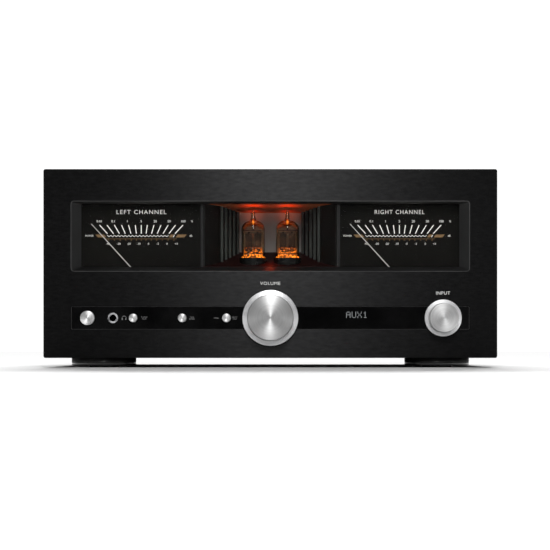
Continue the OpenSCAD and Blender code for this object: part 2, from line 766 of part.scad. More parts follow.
// Fixed parts of the speaker terminals: collar and hollow stud
module speaker_studs() color([0.85, 0.7, 0.35]) {
    for (x = post_places) translate([x, 0, post_z]) difference() {
        union() {
            rod_y(9, rear_y, rear_y + 3);
            rod_y(5, inner_rear_y, rear_y);
            rod_y(8, inner_rear_y - 3, inner_rear_y);
            rod_y(stud_r, inner_rear_y - 14, rear_y + 22);
        }
        rod_y(2.05, rear_y + 2, rear_y + 22 + cut);
    }
}

// Metal nut that runs along one stud and clamps the wire
module post_nut(i) {
    translate([post_places[i], 0, post_z]) difference() {
        union() {
            rod_y(7, rear_y + 4, rear_y + 6);
            rod_y(5.5, rear_y + 6, rear_y + 22);
        }
        rod_y(stud_r + 0.05, rear_y + 3, rear_y + 23);
    }
}

// Insulated grip around the nut, open at its end for a plug
module post_grip(i) {
    flats = 12;
    translate([post_places[i], 0, post_z]) difference() {
        rod_y(8.6, rear_y + 6.1, rear_y + 30);
        rod_y(5.55, rear_y + 6, rear_y + 27);
        rod_y(2.4, rear_y + 26, rear_y + 30 + cut);
        for (k = [0:flats - 1]) rotate([0, 360 / flats * k, 0]) translate([9.2, 0, 0])
            rod_y(1.1, rear_y + 9, rear_y + 30 + cut, $fn = 16);
    }
}

module post_1_nut() color([0.85, 0.7, 0.35]) post_nut(0);
module post_2_nut() color([0.85, 0.7, 0.35]) post_nut(1);
module post_3_nut() color([0.85, 0.7, 0.35]) post_nut(2);
module post_4_nut() color([0.85, 0.7, 0.35]) post_nut(3);
module post_1_grip() color([0.6, 0.05, 0.05]) post_grip(0);
module post_2_grip() color([0.05, 0.05, 0.05]) post_grip(1);
module post_3_grip() color([0.6, 0.05, 0.05]) post_grip(2);
module post_4_grip() color([0.05, 0.05, 0.05]) post_grip(3);

front_panel();
window_bezel();
window_glass();
control_strip();
display_module();
control_board();
button_switches();
encoders();
headphone_jack();
volume_knob();
volume_shaft();
input_knob();
input_shaft();
power_button();
headphone_button();
tone_button();
menu_button();
meter_housings();
left_meter_dial();
right_meter_dial();
meter_movements();
left_meter_needle();
right_meter_needle();
tube_bay();
left_tube_glass();
right_tube_glass();
tube_electrodes();
tube_sockets();
tube_board();
chassis_base();
left_side_panel();
right_side_panel();
top_cover();
rear_panel();
feet();
foot_pads();
screws();
toroid_transformer();
transformer_clamp();
power_supply_board();
filter_capacitors();
left_heat_sink();
right_heat_sink();
output_transistors();
amplifier_boards();
input_board();
rca_sockets();
xlr_sockets();
digital_sockets();
power_inlet();
mains_rocker();
speaker_studs();
post_1_nut();
post_1_grip();
post_2_nut();
post_2_grip();
post_3_nut();
post_3_grip();
post_4_nut();
post_4_grip();
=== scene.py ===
# Integrated amplifier with needle meters and a lit tube alcove. Metres, front towards -Y, +Z up.
import math

import bpy
from mathutils import Matrix, Vector


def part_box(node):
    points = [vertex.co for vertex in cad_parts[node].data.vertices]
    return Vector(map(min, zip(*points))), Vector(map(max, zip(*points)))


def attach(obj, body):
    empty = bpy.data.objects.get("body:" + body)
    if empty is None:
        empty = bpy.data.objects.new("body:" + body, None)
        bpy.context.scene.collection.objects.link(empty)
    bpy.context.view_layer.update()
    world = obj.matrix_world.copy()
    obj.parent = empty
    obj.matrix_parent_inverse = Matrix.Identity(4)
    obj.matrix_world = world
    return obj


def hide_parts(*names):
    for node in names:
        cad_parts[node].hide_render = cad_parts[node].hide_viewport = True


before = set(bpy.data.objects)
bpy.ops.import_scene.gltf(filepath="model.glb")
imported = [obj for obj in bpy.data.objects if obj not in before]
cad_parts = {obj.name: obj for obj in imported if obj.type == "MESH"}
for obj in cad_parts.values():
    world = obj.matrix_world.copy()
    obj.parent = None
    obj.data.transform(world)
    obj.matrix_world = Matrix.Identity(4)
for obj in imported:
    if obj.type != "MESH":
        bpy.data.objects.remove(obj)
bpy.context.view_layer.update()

# Front panel
# A thick aluminium plate, brushed from side to side and anodised black. It is bolted from
# behind, so no fastener shows on its face.
MM = 0.001
CHASSIS = "chassis"


def add_node(tree, kind, inputs=None, **settings):
    """A shader node whose inputs are values or other nodes' sockets."""
    made = tree.nodes.new(kind)
    for key, value in settings.items():
        setattr(made, key, value)
    for key, value in (inputs or {}).items():
        if isinstance(value, bpy.types.NodeSocket):
            tree.links.new(value, made.inputs[key])
        else:
            made.inputs[key].default_value = value
    return made


def reckon(tree, operation, *values):
    """One step of arithmetic on numbers or sockets."""
    step = add_node(tree, "ShaderNodeMath", dict(enumerate(values)), operation=operation)
    return step.outputs[0]


def rescale(tree, value, low, high, first=0.0, last=1.0):
    """A value that runs from low to high, made to run from first to last."""
    scaled = add_node(tree, "ShaderNodeMapRange",
                      {"Value": value, "From Min": low, "From Max": high,
                       "To Min": first, "To Max": last})
    return scaled.outputs[0]


def new_group(name, inputs, outputs):
    """An empty shader group with named sockets, and its two end nodes."""
    tree = bpy.data.node_groups.new(name, "ShaderNodeTree")
    for label, kind in inputs.items():
        tree.interface.new_socket(label, in_out="INPUT", socket_type=kind)
    for label, kind in outputs.items():
        tree.interface.new_socket(label, in_out="OUTPUT", socket_type=kind)
    return tree, tree.nodes.new("NodeGroupInput"), tree.nodes.new("NodeGroupOutput")


def new_finish(name, colour, roughness, metallic=0.0, **sockets):
    """A material with its own Principled shader, and the object's coordinates."""
    material = bpy.data.materials.new(name)
    material.use_nodes = True
    tree = material.node_tree
    shader = tree.nodes["Principled BSDF"]
    shader.inputs["Base Color"].default_value = (*colour, 1)
    shader.inputs["Roughness"].default_value = roughness
    shader.inputs["Metallic"].default_value = metallic
    for label, value in sockets.items():
        shader.inputs[label.replace("_", " ")].default_value = value
    place = add_node(tree, "ShaderNodeTexCoord").outputs["Object"]
    return material, tree, shader, place


def dress(material, *names):
    """Gives CAD nodes their finish."""
    for name in names:
        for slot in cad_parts[name].material_slots:
            slot.material = material


# Shared effect: what handling leaves on a surface, as slow clouds, fine specks and a grain height
handling, ins, outs = new_group(
    "handling",
    {"Place": "NodeSocketVector", "Cloud size": "NodeSocketFloat", "Grain size": "NodeSocketFloat"},
    {"Cloud": "NodeSocketFloat", "Grain": "NodeSocketFloat"},
)
cloud = add_node(handling, "ShaderNodeTexNoise",
                 {"Vector": ins.outputs["Place"], "Scale": ins.outputs["Cloud size"], "Detail": 4.0})
speck = add_node(handling, "ShaderNodeTexNoise",
                 {"Vector": ins.outputs["Place"], "Scale": ins.outputs["Grain size"], "Detail": 2.0})
handling.links.new(cloud.outputs["Fac"], outs.inputs["Cloud"])
handling.links.new(speck.outputs["Fac"], outs.inputs["Grain"])

# Shared effect: long parallel scratches of a belt brush, already stretched by the place it is given
brushing, ins, outs = new_group(
    "brushing",
    {"Place": "NodeSocketVector", "Fineness": "NodeSocketFloat"},
    {"Lines": "NodeSocketFloat", "Streaks": "NodeSocketFloat"},
)
lines = add_node(brushing, "ShaderNodeTexNoise",
                 {"Vector": ins.outputs["Place"], "Scale": ins.outputs["Fineness"], "Detail": 5.0,
                  "Roughness": 0.7})
streak_share = 0.22
coarse = reckon(brushing, "MULTIPLY", ins.outputs["Fineness"], streak_share)
streaks = add_node(brushing, "ShaderNodeTexNoise",
                   {"Vector": ins.outputs["Place"], "Scale": coarse, "Detail": 3.0})
brushing.links.new(lines.outputs["Fac"], outs.inputs["Lines"])
brushing.links.new(streaks.outputs["Fac"], outs.inputs["Streaks"])


def use_group(tree, group, inputs):
    """A shared effect placed in a material with its own values."""
    return add_node(tree, "ShaderNodeGroup", inputs, node_tree=group).outputs


def marks(tree, place, clouds, grains):
    """The handling effect, with its cloud and grain sizes in marks to the metre."""
    return use_group(tree, handling, {"Place": place, "Cloud size": clouds, "Grain size": grains})


def blend_colours(tree, factor, first, second):
    """A colour between two colours or sockets."""
    mixed = tree.nodes.new("ShaderNodeMix")
    mixed.data_type = "RGBA"
    tree.links.new(factor, mixed.inputs[0])
    for socket, value in ((mixed.inputs[6], first), (mixed.inputs[7], second)):
        if isinstance(value, bpy.types.NodeSocket):
            tree.links.new(value, socket)
        else:
            socket.default_value = value
    return mixed.outputs[2]


def vary_colour(tree, shader, factor, dark, light, low=0.3, high=0.7):
    """Base colour between two shades, steered by a factor that lies about 0.5."""
    blended = blend_colours(tree, rescale(tree, factor, low, high), (*dark, 1), (*light, 1))
    tree.links.new(blended, shader.inputs["Base Color"])


def vary_roughness(tree, shader, factor, smooth, rough, low=0.3, high=0.7):
    """Roughness between two values, steered the same way."""
    tree.links.new(rescale(tree, factor, low, high, smooth, rough), shader.inputs["Roughness"])


def raise_height(tree, shader, height, distance, strength=1.0):
    """Fine relief, its distance in metres."""
    bump = add_node(tree, "ShaderNodeBump",
                    {"Height": height, "Distance": distance, "Strength": strength})
    tree.links.new(bump.outputs[0], shader.inputs["Normal"])


panel_finish, tree, shader, place = new_finish(
    "black_brushed_anodised", (0.008, 0.008, 0.0082), 0.3, 0.95, Anisotropic=0.9)
upright = add_node(tree, "ShaderNodeCombineXYZ", {"Z": 1.0})
tree.links.new(upright.outputs[0], shader.inputs["Tangent"])
stretched = add_node(tree, "ShaderNodeMapping", {"Vector": place, "Scale": (0.3, 0.4, 1.0)})
brushed = use_group(tree, brushing, {"Place": stretched.outputs[0], "Fineness": 2200.0})
vary_colour(tree, shader, brushed["Streaks"], (0.0064, 0.0064, 0.0066), (0.0108, 0.0108, 0.011))
vary_roughness(tree, shader, brushed["Lines"], 0.25, 0.34)
raise_height(tree, shader, brushed["Lines"], 0.00002, 0.3)
dress(panel_finish, "front_panel")

face_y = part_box("front_panel")[0].y

# Window bezel
# A sloping frame of aluminium, milled and anodised satin black. It is pressed into the window
# from the front and hides the edge of the glass.
bezel_finish, tree, shader, place = new_finish("satin_black_anodised", (0.02, 0.02, 0.02), 0.42, 0.5)
touched = marks(tree, place, clouds=30.0, grains=2500.0)
vary_colour(tree, shader, touched["Cloud"], (0.016, 0.016, 0.016), (0.026, 0.026, 0.026))
vary_roughness(tree, shader, touched["Cloud"], 0.36, 0.5)
raise_height(tree, shader, touched["Grain"], 0.00002, 0.3)
dress(bezel_finish, "window_bezel")

# Window edge highlight
# A narrow bright line round the window's outer edge: a painted highlight, a thin grey ring laid
# on the black face where the bezel's edge would catch the light.


def fit_piece(piece, body, material, slot, *stood_for):
    """Gives a new piece its finish and its place on a body."""
    piece.data.materials.clear()
    piece.data.materials.append(material)
    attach(piece, body)
    if stood_for:
        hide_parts(*stood_for)
    return piece


def face_outwards():
    """Turns all the faces of the mesh being edited outwards, and leaves edit mode."""
    bpy.ops.mesh.select_all(action="SELECT")
    bpy.ops.mesh.normals_make_consistent(inside=False)
    bpy.ops.object.mode_set(mode="OBJECT")


def thin_frame(name, low, high, corner, line, depth, plane_y):
    """A thin flat ring with rounded corners, standing upright at a plane."""
    bpy.ops.object.select_all(action="DESELECT")
    bpy.ops.mesh.primitive_plane_add(size=1)
    ring = bpy.context.object
    bpy.ops.object.mode_set(mode="EDIT")
    bpy.ops.transform.resize(value=(high.x - low.x, high.z - low.z, 1))
    bpy.ops.mesh.bevel(offset=corner, segments=6, affect="VERTICES", offset_type="OFFSET")
    bpy.ops.mesh.inset(thickness=line, depth=0)
    bpy.ops.mesh.delete(type="FACE")
    bpy.ops.mesh.select_all(action="SELECT")
    bpy.ops.mesh.extrude_region_move(TRANSFORM_OT_translate={"value": (0, 0, depth)})
    face_outwards()
    ring.name = name
    middle = ((low.x + high.x) / 2, plane_y, (low.z + high.z) / 2)
    ring.data.transform(Matrix.Translation(middle) @ Matrix.Rotation(math.radians(90), 4, "X"))
    return ring


# Painted highlight: the ring's grey is far paler than the black around it.
edge_highlight_finish, tree, shader, place = new_finish("window_edge_painted_highlight", (0.1, 0.1, 0.1), 0.45, 0.6)
highlight_clouds = marks(tree, place, clouds=14.0, grains=2500.0)
vary_colour(tree, shader, highlight_clouds["Cloud"], (0.04, 0.04, 0.04), (0.12, 0.12, 0.12))
bezel_low, bezel_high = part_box("window_bezel")
rim = thin_frame("window_edge_highlight", bezel_low, bezel_high, corner=3 * MM, line=0.35 * MM,
                 depth=0.06 * MM, plane_y=face_y - 0.01 * MM)
fit_piece(rim, CHASSIS, edge_highlight_finish, "bezel_black")

# Window glass
# A clear pane of float glass, laid behind the bezel and clamped to it by the panel. Wiping has
# left faint smears on it.
pane_finish, tree, shader, place = new_finish("window_pane", (0.02, 0.02, 0.02), 0.03, Alpha=0.03)
wiped = marks(tree, place, clouds=22.0, grains=900.0)
vary_roughness(tree, shader, wiped["Cloud"], 0.02, 0.08)
dress(pane_finish, "window_glass")

# Control strip
# Gloss black acrylic, cut by laser and bonded into a shallow pocket of the panel. The buttons,
# the socket and both knobs pass through it.
gloss_finish, tree, shader, place = new_finish(
    "gloss_black_acrylic", (0.0015, 0.0015, 0.0016), 0.06, Specular_IOR_Level=0.12)
touched = marks(tree, place, clouds=25.0, grains=1200.0)
vary_colour(tree, shader, touched["Cloud"], (0.001, 0.001, 0.0011), (0.003, 0.003, 0.0032))
vary_roughness(tree, shader, touched["Cloud"], 0.04, 0.14)
dress(gloss_finish, "control_strip")
strip_low, strip_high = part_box("control_strip")
strip_y = strip_low.y
control_z = (strip_low.z + strip_high.z) / 2

# Strip edge highlight
# A hair line of painted highlight round the acrylic strip against the brushed face: a thin grey
# ring laid on the strip's face where its edge would catch the light.
# Painted highlight: the line's grey is far paler than the gloss black strip.
strip_highlight_finish, tree, shader, place = new_finish("strip_line_painted_highlight", (0.05, 0.05, 0.05), 0.5)
highlight_clouds = marks(tree, place, clouds=14.0, grains=2500.0)
vary_colour(tree, shader, highlight_clouds["Cloud"], (0.02, 0.02, 0.02), (0.07, 0.07, 0.07))
edge = thin_frame("strip_highlight_line", strip_low, strip_high, corner=1.3 * MM, line=0.2 * MM,
                  depth=0.05 * MM, plane_y=strip_y - 0.01 * MM)
fit_piece(edge, CHASSIS, strip_highlight_finish, "gloss_black")

# Volume and input knobs
# Solid aluminium, turned with a wide skirt and a raised cap, the face spun so that its fine
# rings throw a fan of light. The one metal is coloured in lit and shaded copies: the skirt
# near-white, a painted highlight, and the cap a darker grey, painted shade, darkest on the volume
# knob. Each is held on its 6 mm shaft by a grub screw underneath.


def turned(name, outline, place, facing=(0, -1, 0), steps=96):
    """A solid of revolution drawn up ring by ring from (radius, height) in millimetres."""
    bpy.ops.object.select_all(action="DESELECT")
    radius, height = outline[0]
    bpy.ops.mesh.primitive_circle_add(vertices=steps, radius=radius * MM, fill_type="NGON")
    bpy.ops.object.mode_set(mode="EDIT")
    bpy.ops.transform.translate(value=(0, 0, height * MM))
    for next_radius, next_height in outline[1:]:
        rise = (next_height - height) * MM
        bpy.ops.mesh.extrude_region_move(TRANSFORM_OT_translate={"value": (0, 0, rise)})
        grow = next_radius / radius
        bpy.ops.transform.resize(value=(grow, grow, 1), center_override=(0, 0, 0))
        radius, height = next_radius, next_height
    face_outwards()
    piece = bpy.context.object
    piece.name = name
    turn = Vector((0, 0, 1)).rotation_difference(Vector(facing)).to_matrix().to_4x4()
    piece.data.transform(Matrix.Translation(place) @ turn)
    bpy.ops.object.shade_smooth_by_angle(angle=math.radians(35))
    return piece


def spun_finish(name, centre, shade, smooth, rough, anisotropy, cap_r):
    """Spun aluminium: rings about the centre with the sheen spread across them; the cap a darker grey,
    painted shade, and past it near-white, a painted highlight.
    """
    material, tree, shader, place = new_finish(
        name, (shade, shade, shade), rough, 1.0, Anisotropic=anisotropy)
    from_centre = add_node(tree, "ShaderNodeVectorMath",
                           {0: place, 1: tuple(centre)}, operation="SUBTRACT")
    flat = add_node(tree, "ShaderNodeVectorMath",
                    {0: from_centre.outputs[0], 1: (1, 0, 1)}, operation="MULTIPLY")
    across = add_node(tree, "ShaderNodeVectorMath", {0: flat.outputs[0]}, operation="NORMALIZE")
    with_knob = add_node(tree, "ShaderNodeVectorTransform", {0: across.outputs[0]},
                         vector_type="VECTOR", convert_from="OBJECT", convert_to="WORLD")
    tree.links.new(with_knob.outputs[0], shader.inputs["Tangent"])
    distance = add_node(tree, "ShaderNodeVectorMath", {0: flat.outputs[0]}, operation="LENGTH")
    on_a_line = add_node(tree, "ShaderNodeCombineXYZ", {"X": distance.outputs["Value"]})
    rings = use_group(tree, brushing, {"Place": on_a_line.outputs[0], "Fineness": 4000.0})
    dark, light = shade * 0.9, shade * 1.12
    cap_shade = blend_colours(tree, rescale(tree, rings["Streaks"], 0.3, 0.7),
                              (dark, dark, dark, 1), (light, light, light, 1))
    # Painted highlight: past the cap the colour is near-white, the cap itself a darker grey.
    painted_pale_skirt = reckon(tree, "GREATER_THAN", distance.outputs["Value"], (cap_r + 0.6) * MM)
    whole = blend_colours(tree, painted_pale_skirt, cap_shade, (0.95, 0.95, 0.96, 1))
    tree.links.new(whole, shader.inputs["Base Color"])
    vary_roughness(tree, shader, rings["Lines"], smooth, rough)
    raise_height(tree, shader, rings["Lines"], 0.00001, 0.3)
    return material


def knob_outline(skirt_r, cap_r, length):
    """From the shaft's bore round the rounded skirt, down its groove and over the dished cap."""
    bore_r, skirt_t, groove = 3.05, 4.0, 0.5
    return [(bore_r, length - 5), (bore_r, 0), (skirt_r - 0.6, 0), (skirt_r - 0.2, 0.15),
            (skirt_r, 0.6), (skirt_r, skirt_t - 0.7), (skirt_r - 0.2, skirt_t - 0.2),
            (skirt_r - 0.7, skirt_t), (cap_r + groove, skirt_t),
            (cap_r + groove, skirt_t - 0.8), (cap_r, skirt_t - 0.8), (cap_r, length - 0.8),
            (cap_r - 0.25, length - 0.25), (cap_r - 0.8, length), (cap_r * 0.5, length - 0.12),
            (0.3, length - 0.2)]


for name, cap_inset in (("volume", 5.0), ("input", 3.8)):
    low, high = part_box(f"{name}_knob")
    centre = (low + high) / 2
    skirt_r = (high.x - low.x) / 2 / MM
    length = (high.y - low.y) / MM
    cap_r = skirt_r - cap_inset
    piece = turned(f"{name}_knob_turned", knob_outline(skirt_r, cap_r, length),
                   (centre.x, high.y, centre.z), steps=160)
    smooth, rough, anisotropy = (0.4, 0.5, 0.84) if name == "volume" else (0.56, 0.66, 0.78)
    # Painted shade: the volume knob's aluminium is given a darker grey than the input knob's.
    shade = 0.5 if name == "volume" else 0.66
    face = spun_finish(f"{name}_spun_aluminium", centre, shade, smooth, rough, anisotropy, cap_r)
    fit_piece(piece, f"{name}_control", face, "silver_aluminium", f"{name}_knob")

# Shafts and movements
# Ground steel shafts in the encoders' plated cases, the moving coils of the meters with their
# frames, and the clamp plate and bolt of the transformer: all bright nickel on steel.
shaft_finish, tree, shader, place = new_finish("plated_steel", (0.5, 0.5, 0.51), 0.34, 1.0)
touched = marks(tree, place, clouds=120.0, grains=3000.0)
vary_colour(tree, shader, touched["Cloud"], (0.42, 0.42, 0.43), (0.6, 0.6, 0.61))
vary_roughness(tree, shader, touched["Grain"], 0.28, 0.45)
dress(shaft_finish, "volume_shaft", "input_shaft", "encoders", "meter_movements", "transformer_clamp")

# Power button and three small buttons
# Turned aluminium caps with a slightly dished, spun face. A collar behind the strip keeps each
# from coming out, and the switch behind springs it back.
button_x = {}
for name in ("power", "headphone", "tone", "menu"):
    low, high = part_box(f"{name}_button")
    button_x[name] = (low.x + high.x) / 2
    centre = (low + high) / 2
    collar, collar_low, collar_high, stem_r = 1.2, 8.2, 9.4, 1.5
    cap_r = (high.x - low.x) / 2 / MM - collar
    reach = (high.y - low.y) / MM
    outline = [(stem_r, 0), (stem_r, collar_low), (cap_r + collar, collar_low),
               (cap_r + collar, collar_high), (cap_r, collar_high), (cap_r, reach - 0.5),
               (cap_r - 0.15, reach - 0.15), (cap_r - 0.5, reach), (cap_r * 0.45, reach - 0.25),
               (0.15, reach - 0.3)]
    piece = turned(f"{name}_button_turned", outline, (centre.x, high.y, centre.z), steps=72)
    face = spun_finish(f"{name}_button_spun", centre, 0.68, 0.4, 0.5, 0.8, cap_r)
    fit_piece(piece, f"{name}_key", face, "silver_aluminium", f"{name}_button")

# Headphone socket
# A brass barrel and nut, turned and chromed, which clamp the jack to the strip. Inside is the
# dark well of its moulded liner.
chrome_finish, tree, shader, place = new_finish("chromed_brass", (0.72, 0.72, 0.74), 0.12, 1.0)
touched = marks(tree, place, clouds=200.0, grains=4000.0)
vary_colour(tree, shader, touched["Cloud"], (0.6, 0.6, 0.62), (0.8, 0.8, 0.82))
vary_roughness(tree, shader, touched["Cloud"], 0.08, 0.2)
dress(chrome_finish, "headphone_jack")
low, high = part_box("headphone_jack")
jack = (low + high) / 2
well_r, well_depth = 3.15, 24
nut_r, nut_t = 4.9, 1.5
well_finish, tree, shader, place = new_finish("jack_insulator", (0.01, 0.008, 0.005), 0.4)
touched = marks(tree, place, clouds=400.0, grains=5000.0)
vary_colour(tree, shader, touched["Cloud"], (0.006, 0.005, 0.003), (0.03, 0.022, 0.012))
raise_height(tree, shader, touched["Grain"], 0.00002)
well = turned("headphone_jack_liner",
              [(well_r, 0), (well_r, well_depth), (well_r - 0.55, well_depth + 0.4),
               (well_r - 0.75, well_depth + 0.4), (well_r - 0.75, 3), (0.1, 3)],
              (jack.x, high.y - 4 * MM, jack.z), steps=48)
fit_piece(well, CHASSIS, well_finish, "black_component")
nut = turned("headphone_jack_nut",
             [(nut_r - 0.3, 0), (nut_r, 0.2), (nut_r, nut_t - 0.3), (nut_r - 0.3, nut_t),
              (nut_r - 1.3, nut_t), (nut_r - 1.6, nut_t - 0.3), (nut_r - 1.6, 0.1), (3.25, 0.0)],
             (jack.x, strip_y - 0.02 * MM, jack.z), steps=64)
fit_piece(nut, CHASSIS, chrome_finish, "jack_chrome")

# Printed legends
# Pale words screen-printed on the panel above each knob, and smaller grey ones on the strip
# beside the buttons.
CAP_SHARE = 0.73
UPRIGHT = Matrix.Rotation(math.radians(90), 4, "X")
TO_REAR = Matrix.Rotation(math.radians(180), 4, "Z")
# Painted glow: the pale ink emits a faint light of its own, which keeps the words bright.
ink_painted_glow, tree, shader, place = new_finish(
    "printed_ink", (0.8, 0.8, 0.78), 0.55,
    Emission_Color=(1.0, 1.0, 0.98, 1), Emission_Strength=0.15)
screened = marks(tree, place, clouds=900.0, grains=6000.0)
vary_colour(tree, shader, screened["Cloud"], (0.75, 0.75, 0.73), (0.9, 0.9, 0.88))
dim_ink, tree, shader, place = new_finish("printed_ink_grey", (0.2, 0.2, 0.2), 0.55)
screened = marks(tree, place, clouds=900.0, grains=6000.0)
vary_colour(tree, shader, screened["Cloud"], (0.22, 0.22, 0.22), (0.34, 0.34, 0.34))


def lettering(name, words, cap_height, place, turn=UPRIGHT, spacing=1.0, width=None):
    """Thin raised lettering with its middle at a place; width narrows or widens it to fit."""
    bpy.ops.object.select_all(action="DESELECT")
    bpy.ops.object.text_add()
    text = bpy.context.object
    text.data.body = words
    text.data.size = cap_height / CAP_SHARE
    text.data.align_x = "CENTER"
    text.data.space_character = spacing
    text.data.resolution_u = 3
    text.data.extrude = 0.00002
    text.data.offset = -0.006 * cap_height
    bpy.ops.object.convert(target="MESH")
    text = bpy.context.object
    text.name = name
    squeeze = 1.0 if width is None else width / text.dimensions.x
    lift = Matrix.Translation((0, -cap_height / 2, 0))
    text.data.transform(Matrix.Translation(place) @ turn @ Matrix.Diagonal((squeeze, 1, 1, 1)) @ lift)
    return text


def join_pieces(name, pieces):
    """Several small pieces made into one."""
    bpy.ops.object.select_all(action="DESELECT")
    for piece in pieces:
        piece.select_set(True)
    bpy.context.view_layer.objects.active = pieces[0]
    bpy.ops.object.join()
    pieces[0].name = name
    return pieces[0]


INK_LIFT = 0.03 * MM
for name, lift, width in (("volume", 32.9, 19.0), ("input", 23.7, 13.2)):
    low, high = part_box(f"{name}_knob")
    centre = (low + high) / 2
    legend = lettering(f"{name}_legend", name.upper(), 3.2 * MM,
                       (centre.x, face_y - INK_LIFT, centre.z + lift * MM),
                       spacing=1.1, width=width * MM)
    fit_piece(legend, CHASSIS, ink_painted_glow, "needle_white")

print_y = strip_y - INK_LIFT
row_gap = 1.8 * MM
strip_print = []
for button, aside, cap, rows in (("headphone", 10.5, 1.15, ("PHONES", "MUTE")),
                                 ("tone", 9.2, 1.15, ("TONE", "BYPASS")),
                                 ("menu", -9.4, 1.25, ("MENU",)),
                                 ("menu", 8.0, 1.1, ("SELECT", "HOLD"))):
    across = button_x[button] + aside * MM
    for row, words in enumerate(rows):
        rise = ((len(rows) - 1) / 2 - row) * row_gap
        strip_print.append(lettering(f"label_{words}", words, cap * MM,
                                     (across, print_y, control_z + rise)))
legend = join_pieces("strip_labels", strip_print)
fit_piece(legend, CHASSIS, dim_ink, "needle_white")


def flat_bar(name, width, height, place, lean=0.0, slant=0.0, depth=0.04):
    """A thin upright printed bar in millimetres, turned clockwise by degrees or slanted sideways."""
    bpy.ops.object.select_all(action="DESELECT")
    bpy.ops.mesh.primitive_plane_add(size=1)
    bar = bpy.context.object
    bpy.ops.object.mode_set(mode="EDIT")
    bpy.ops.transform.resize(value=(width * MM, height * MM, 1))
    bpy.ops.mesh.extrude_region_move(TRANSFORM_OT_translate={"value": (0, 0, depth * MM)})
    face_outwards()
    bar.name = name
    slanted = Matrix(((1, slant, 0, 0), (0, 1, 0, 0), (0, 0, 1, 0), (0, 0, 0, 1)))
    turned_bar = Matrix.Rotation(math.radians(lean), 4, "Y") @ UPRIGHT @ slanted
    bar.data.transform(Matrix.Translation(place) @ turned_bar)
    return bar


# Headphone mark
# A small outline of a headband with two ear cups, printed in the same grey ink between the
# socket and its button.
mark_x = jack.x + 10.4 * MM
band_r = 1.9 * MM
band_steps = 8
arc = []
for step in range(band_steps + 1):
    angle = math.radians(180 / band_steps * step)
    on_band = (mark_x + band_r * math.cos(angle), print_y, control_z + band_r * math.sin(angle))
    arc.append(flat_bar("band_step", 0.34, 0.85, on_band, -math.degrees(angle)))
for side in (-1, 1):
    cup = (mark_x + side * 1.7 * MM, print_y, control_z - 1.0 * MM)
    arc.append(flat_bar("ear_cup", 0.9, 1.7, cup))
mark = join_pieces("headphone_mark", arc)
fit_piece(mark, CHASSIS, dim_ink, "needle_white")

# Display
# A dot display in its metal frame, soldered behind the strip. Its lit dots shine through the
# acrylic and form the name of the chosen input.
lit_finish, tree, shader, place = new_finish(
    "lit_display_dot", (0.1, 0.1, 0.1), 0.5, Emission_Strength=0.62)
glowing = marks(tree, place, clouds=700.0, grains=6000.0)
lit = blend_colours(tree, rescale(tree, glowing["Cloud"], 0.3, 0.7),
                    (0.42, 0.45, 0.47, 1), (0.6, 0.63, 0.65, 1))
tree.links.new(lit, shader.inputs["Emission Color"])
LETTER_ROWS = {
    "A": (" ### ", "#   #", "#   #", "#####", "#   #", "#   #", "#   #"),
    "U": ("#   #", "#   #", "#   #", "#   #", "#   #", "#   #", " ### "),
    "X": ("#   #", "#   #", " # # ", "  #  ", " # # ", "#   #", "#   #"),
    "1": ("  #  ", " ##  ", "  #  ", "  #  ", "  #  ", "  #  ", " ### "),
}
low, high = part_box("display_module")
display_x = (low.x + high.x) / 2
dot, dot_pitch = 0.56, 0.86 * MM
letter_pitch = 6.2 * dot_pitch
top_row_z = control_z + 3.0 * MM + 3 * dot_pitch
dots = []
for index, letter in enumerate("AUX1"):
    left = display_x + (index - 1.5) * letter_pitch - 2 * dot_pitch
    for row, cells in enumerate(LETTER_ROWS[letter]):
        for column, cell in enumerate(cells):
            if cell == "#":
                spot = (left + column * dot_pitch, print_y, top_row_z - row * dot_pitch)
                dots.append(flat_bar("dot", dot, dot, spot))
lit_word = join_pieces("display_word", dots)
fit_piece(lit_word, CHASSIS, lit_finish, "needle_white")

# Meter dials
# Steel plates painted a warm black, screen-printed with a power scale above and a level scale
# below. Four posts of the moulded housing carry each.
dial_finish, tree, shader, place = new_finish(
    "dial_paint", (0.005, 0.0045, 0.003), 0.6, Specular_IOR_Level=0.1)
painted = marks(tree, place, clouds=60.0, grains=2600.0)
vary_colour(tree, shader, painted["Cloud"], (0.0018, 0.0015, 0.0007), (0.003, 0.0025, 0.0012))
raise_height(tree, shader, painted["Grain"], 0.00002, 0.3)
dress(dial_finish, "left_meter_dial", "right_meter_dial")

# Painted glow: both inks emit a little light, the white more, which keeps the print bright on the
# black.
scale_ink_painted_glow, tree, shader, place = new_finish(
    "scale_white_painted_glow", (0.85, 0.84, 0.8), 0.6,
    Emission_Color=(1.0, 0.98, 0.93, 1), Emission_Strength=0.3)
screened = marks(tree, place, clouds=500.0, grains=6000.0)
vary_colour(tree, shader, screened["Cloud"], (0.8, 0.79, 0.75), (0.9, 0.89, 0.85))
amber_ink_painted_glow, tree, shader, place = new_finish(
    "scale_amber_painted_glow", (0.2, 0.11, 0.035), 0.6,
    Emission_Color=(0.5, 0.24, 0.06, 1), Emission_Strength=0.06)
screened = marks(tree, place, clouds=500.0, grains=6000.0)
vary_colour(tree, shader, screened["Cloud"], (0.15, 0.08, 0.025), (0.26, 0.15, 0.05))

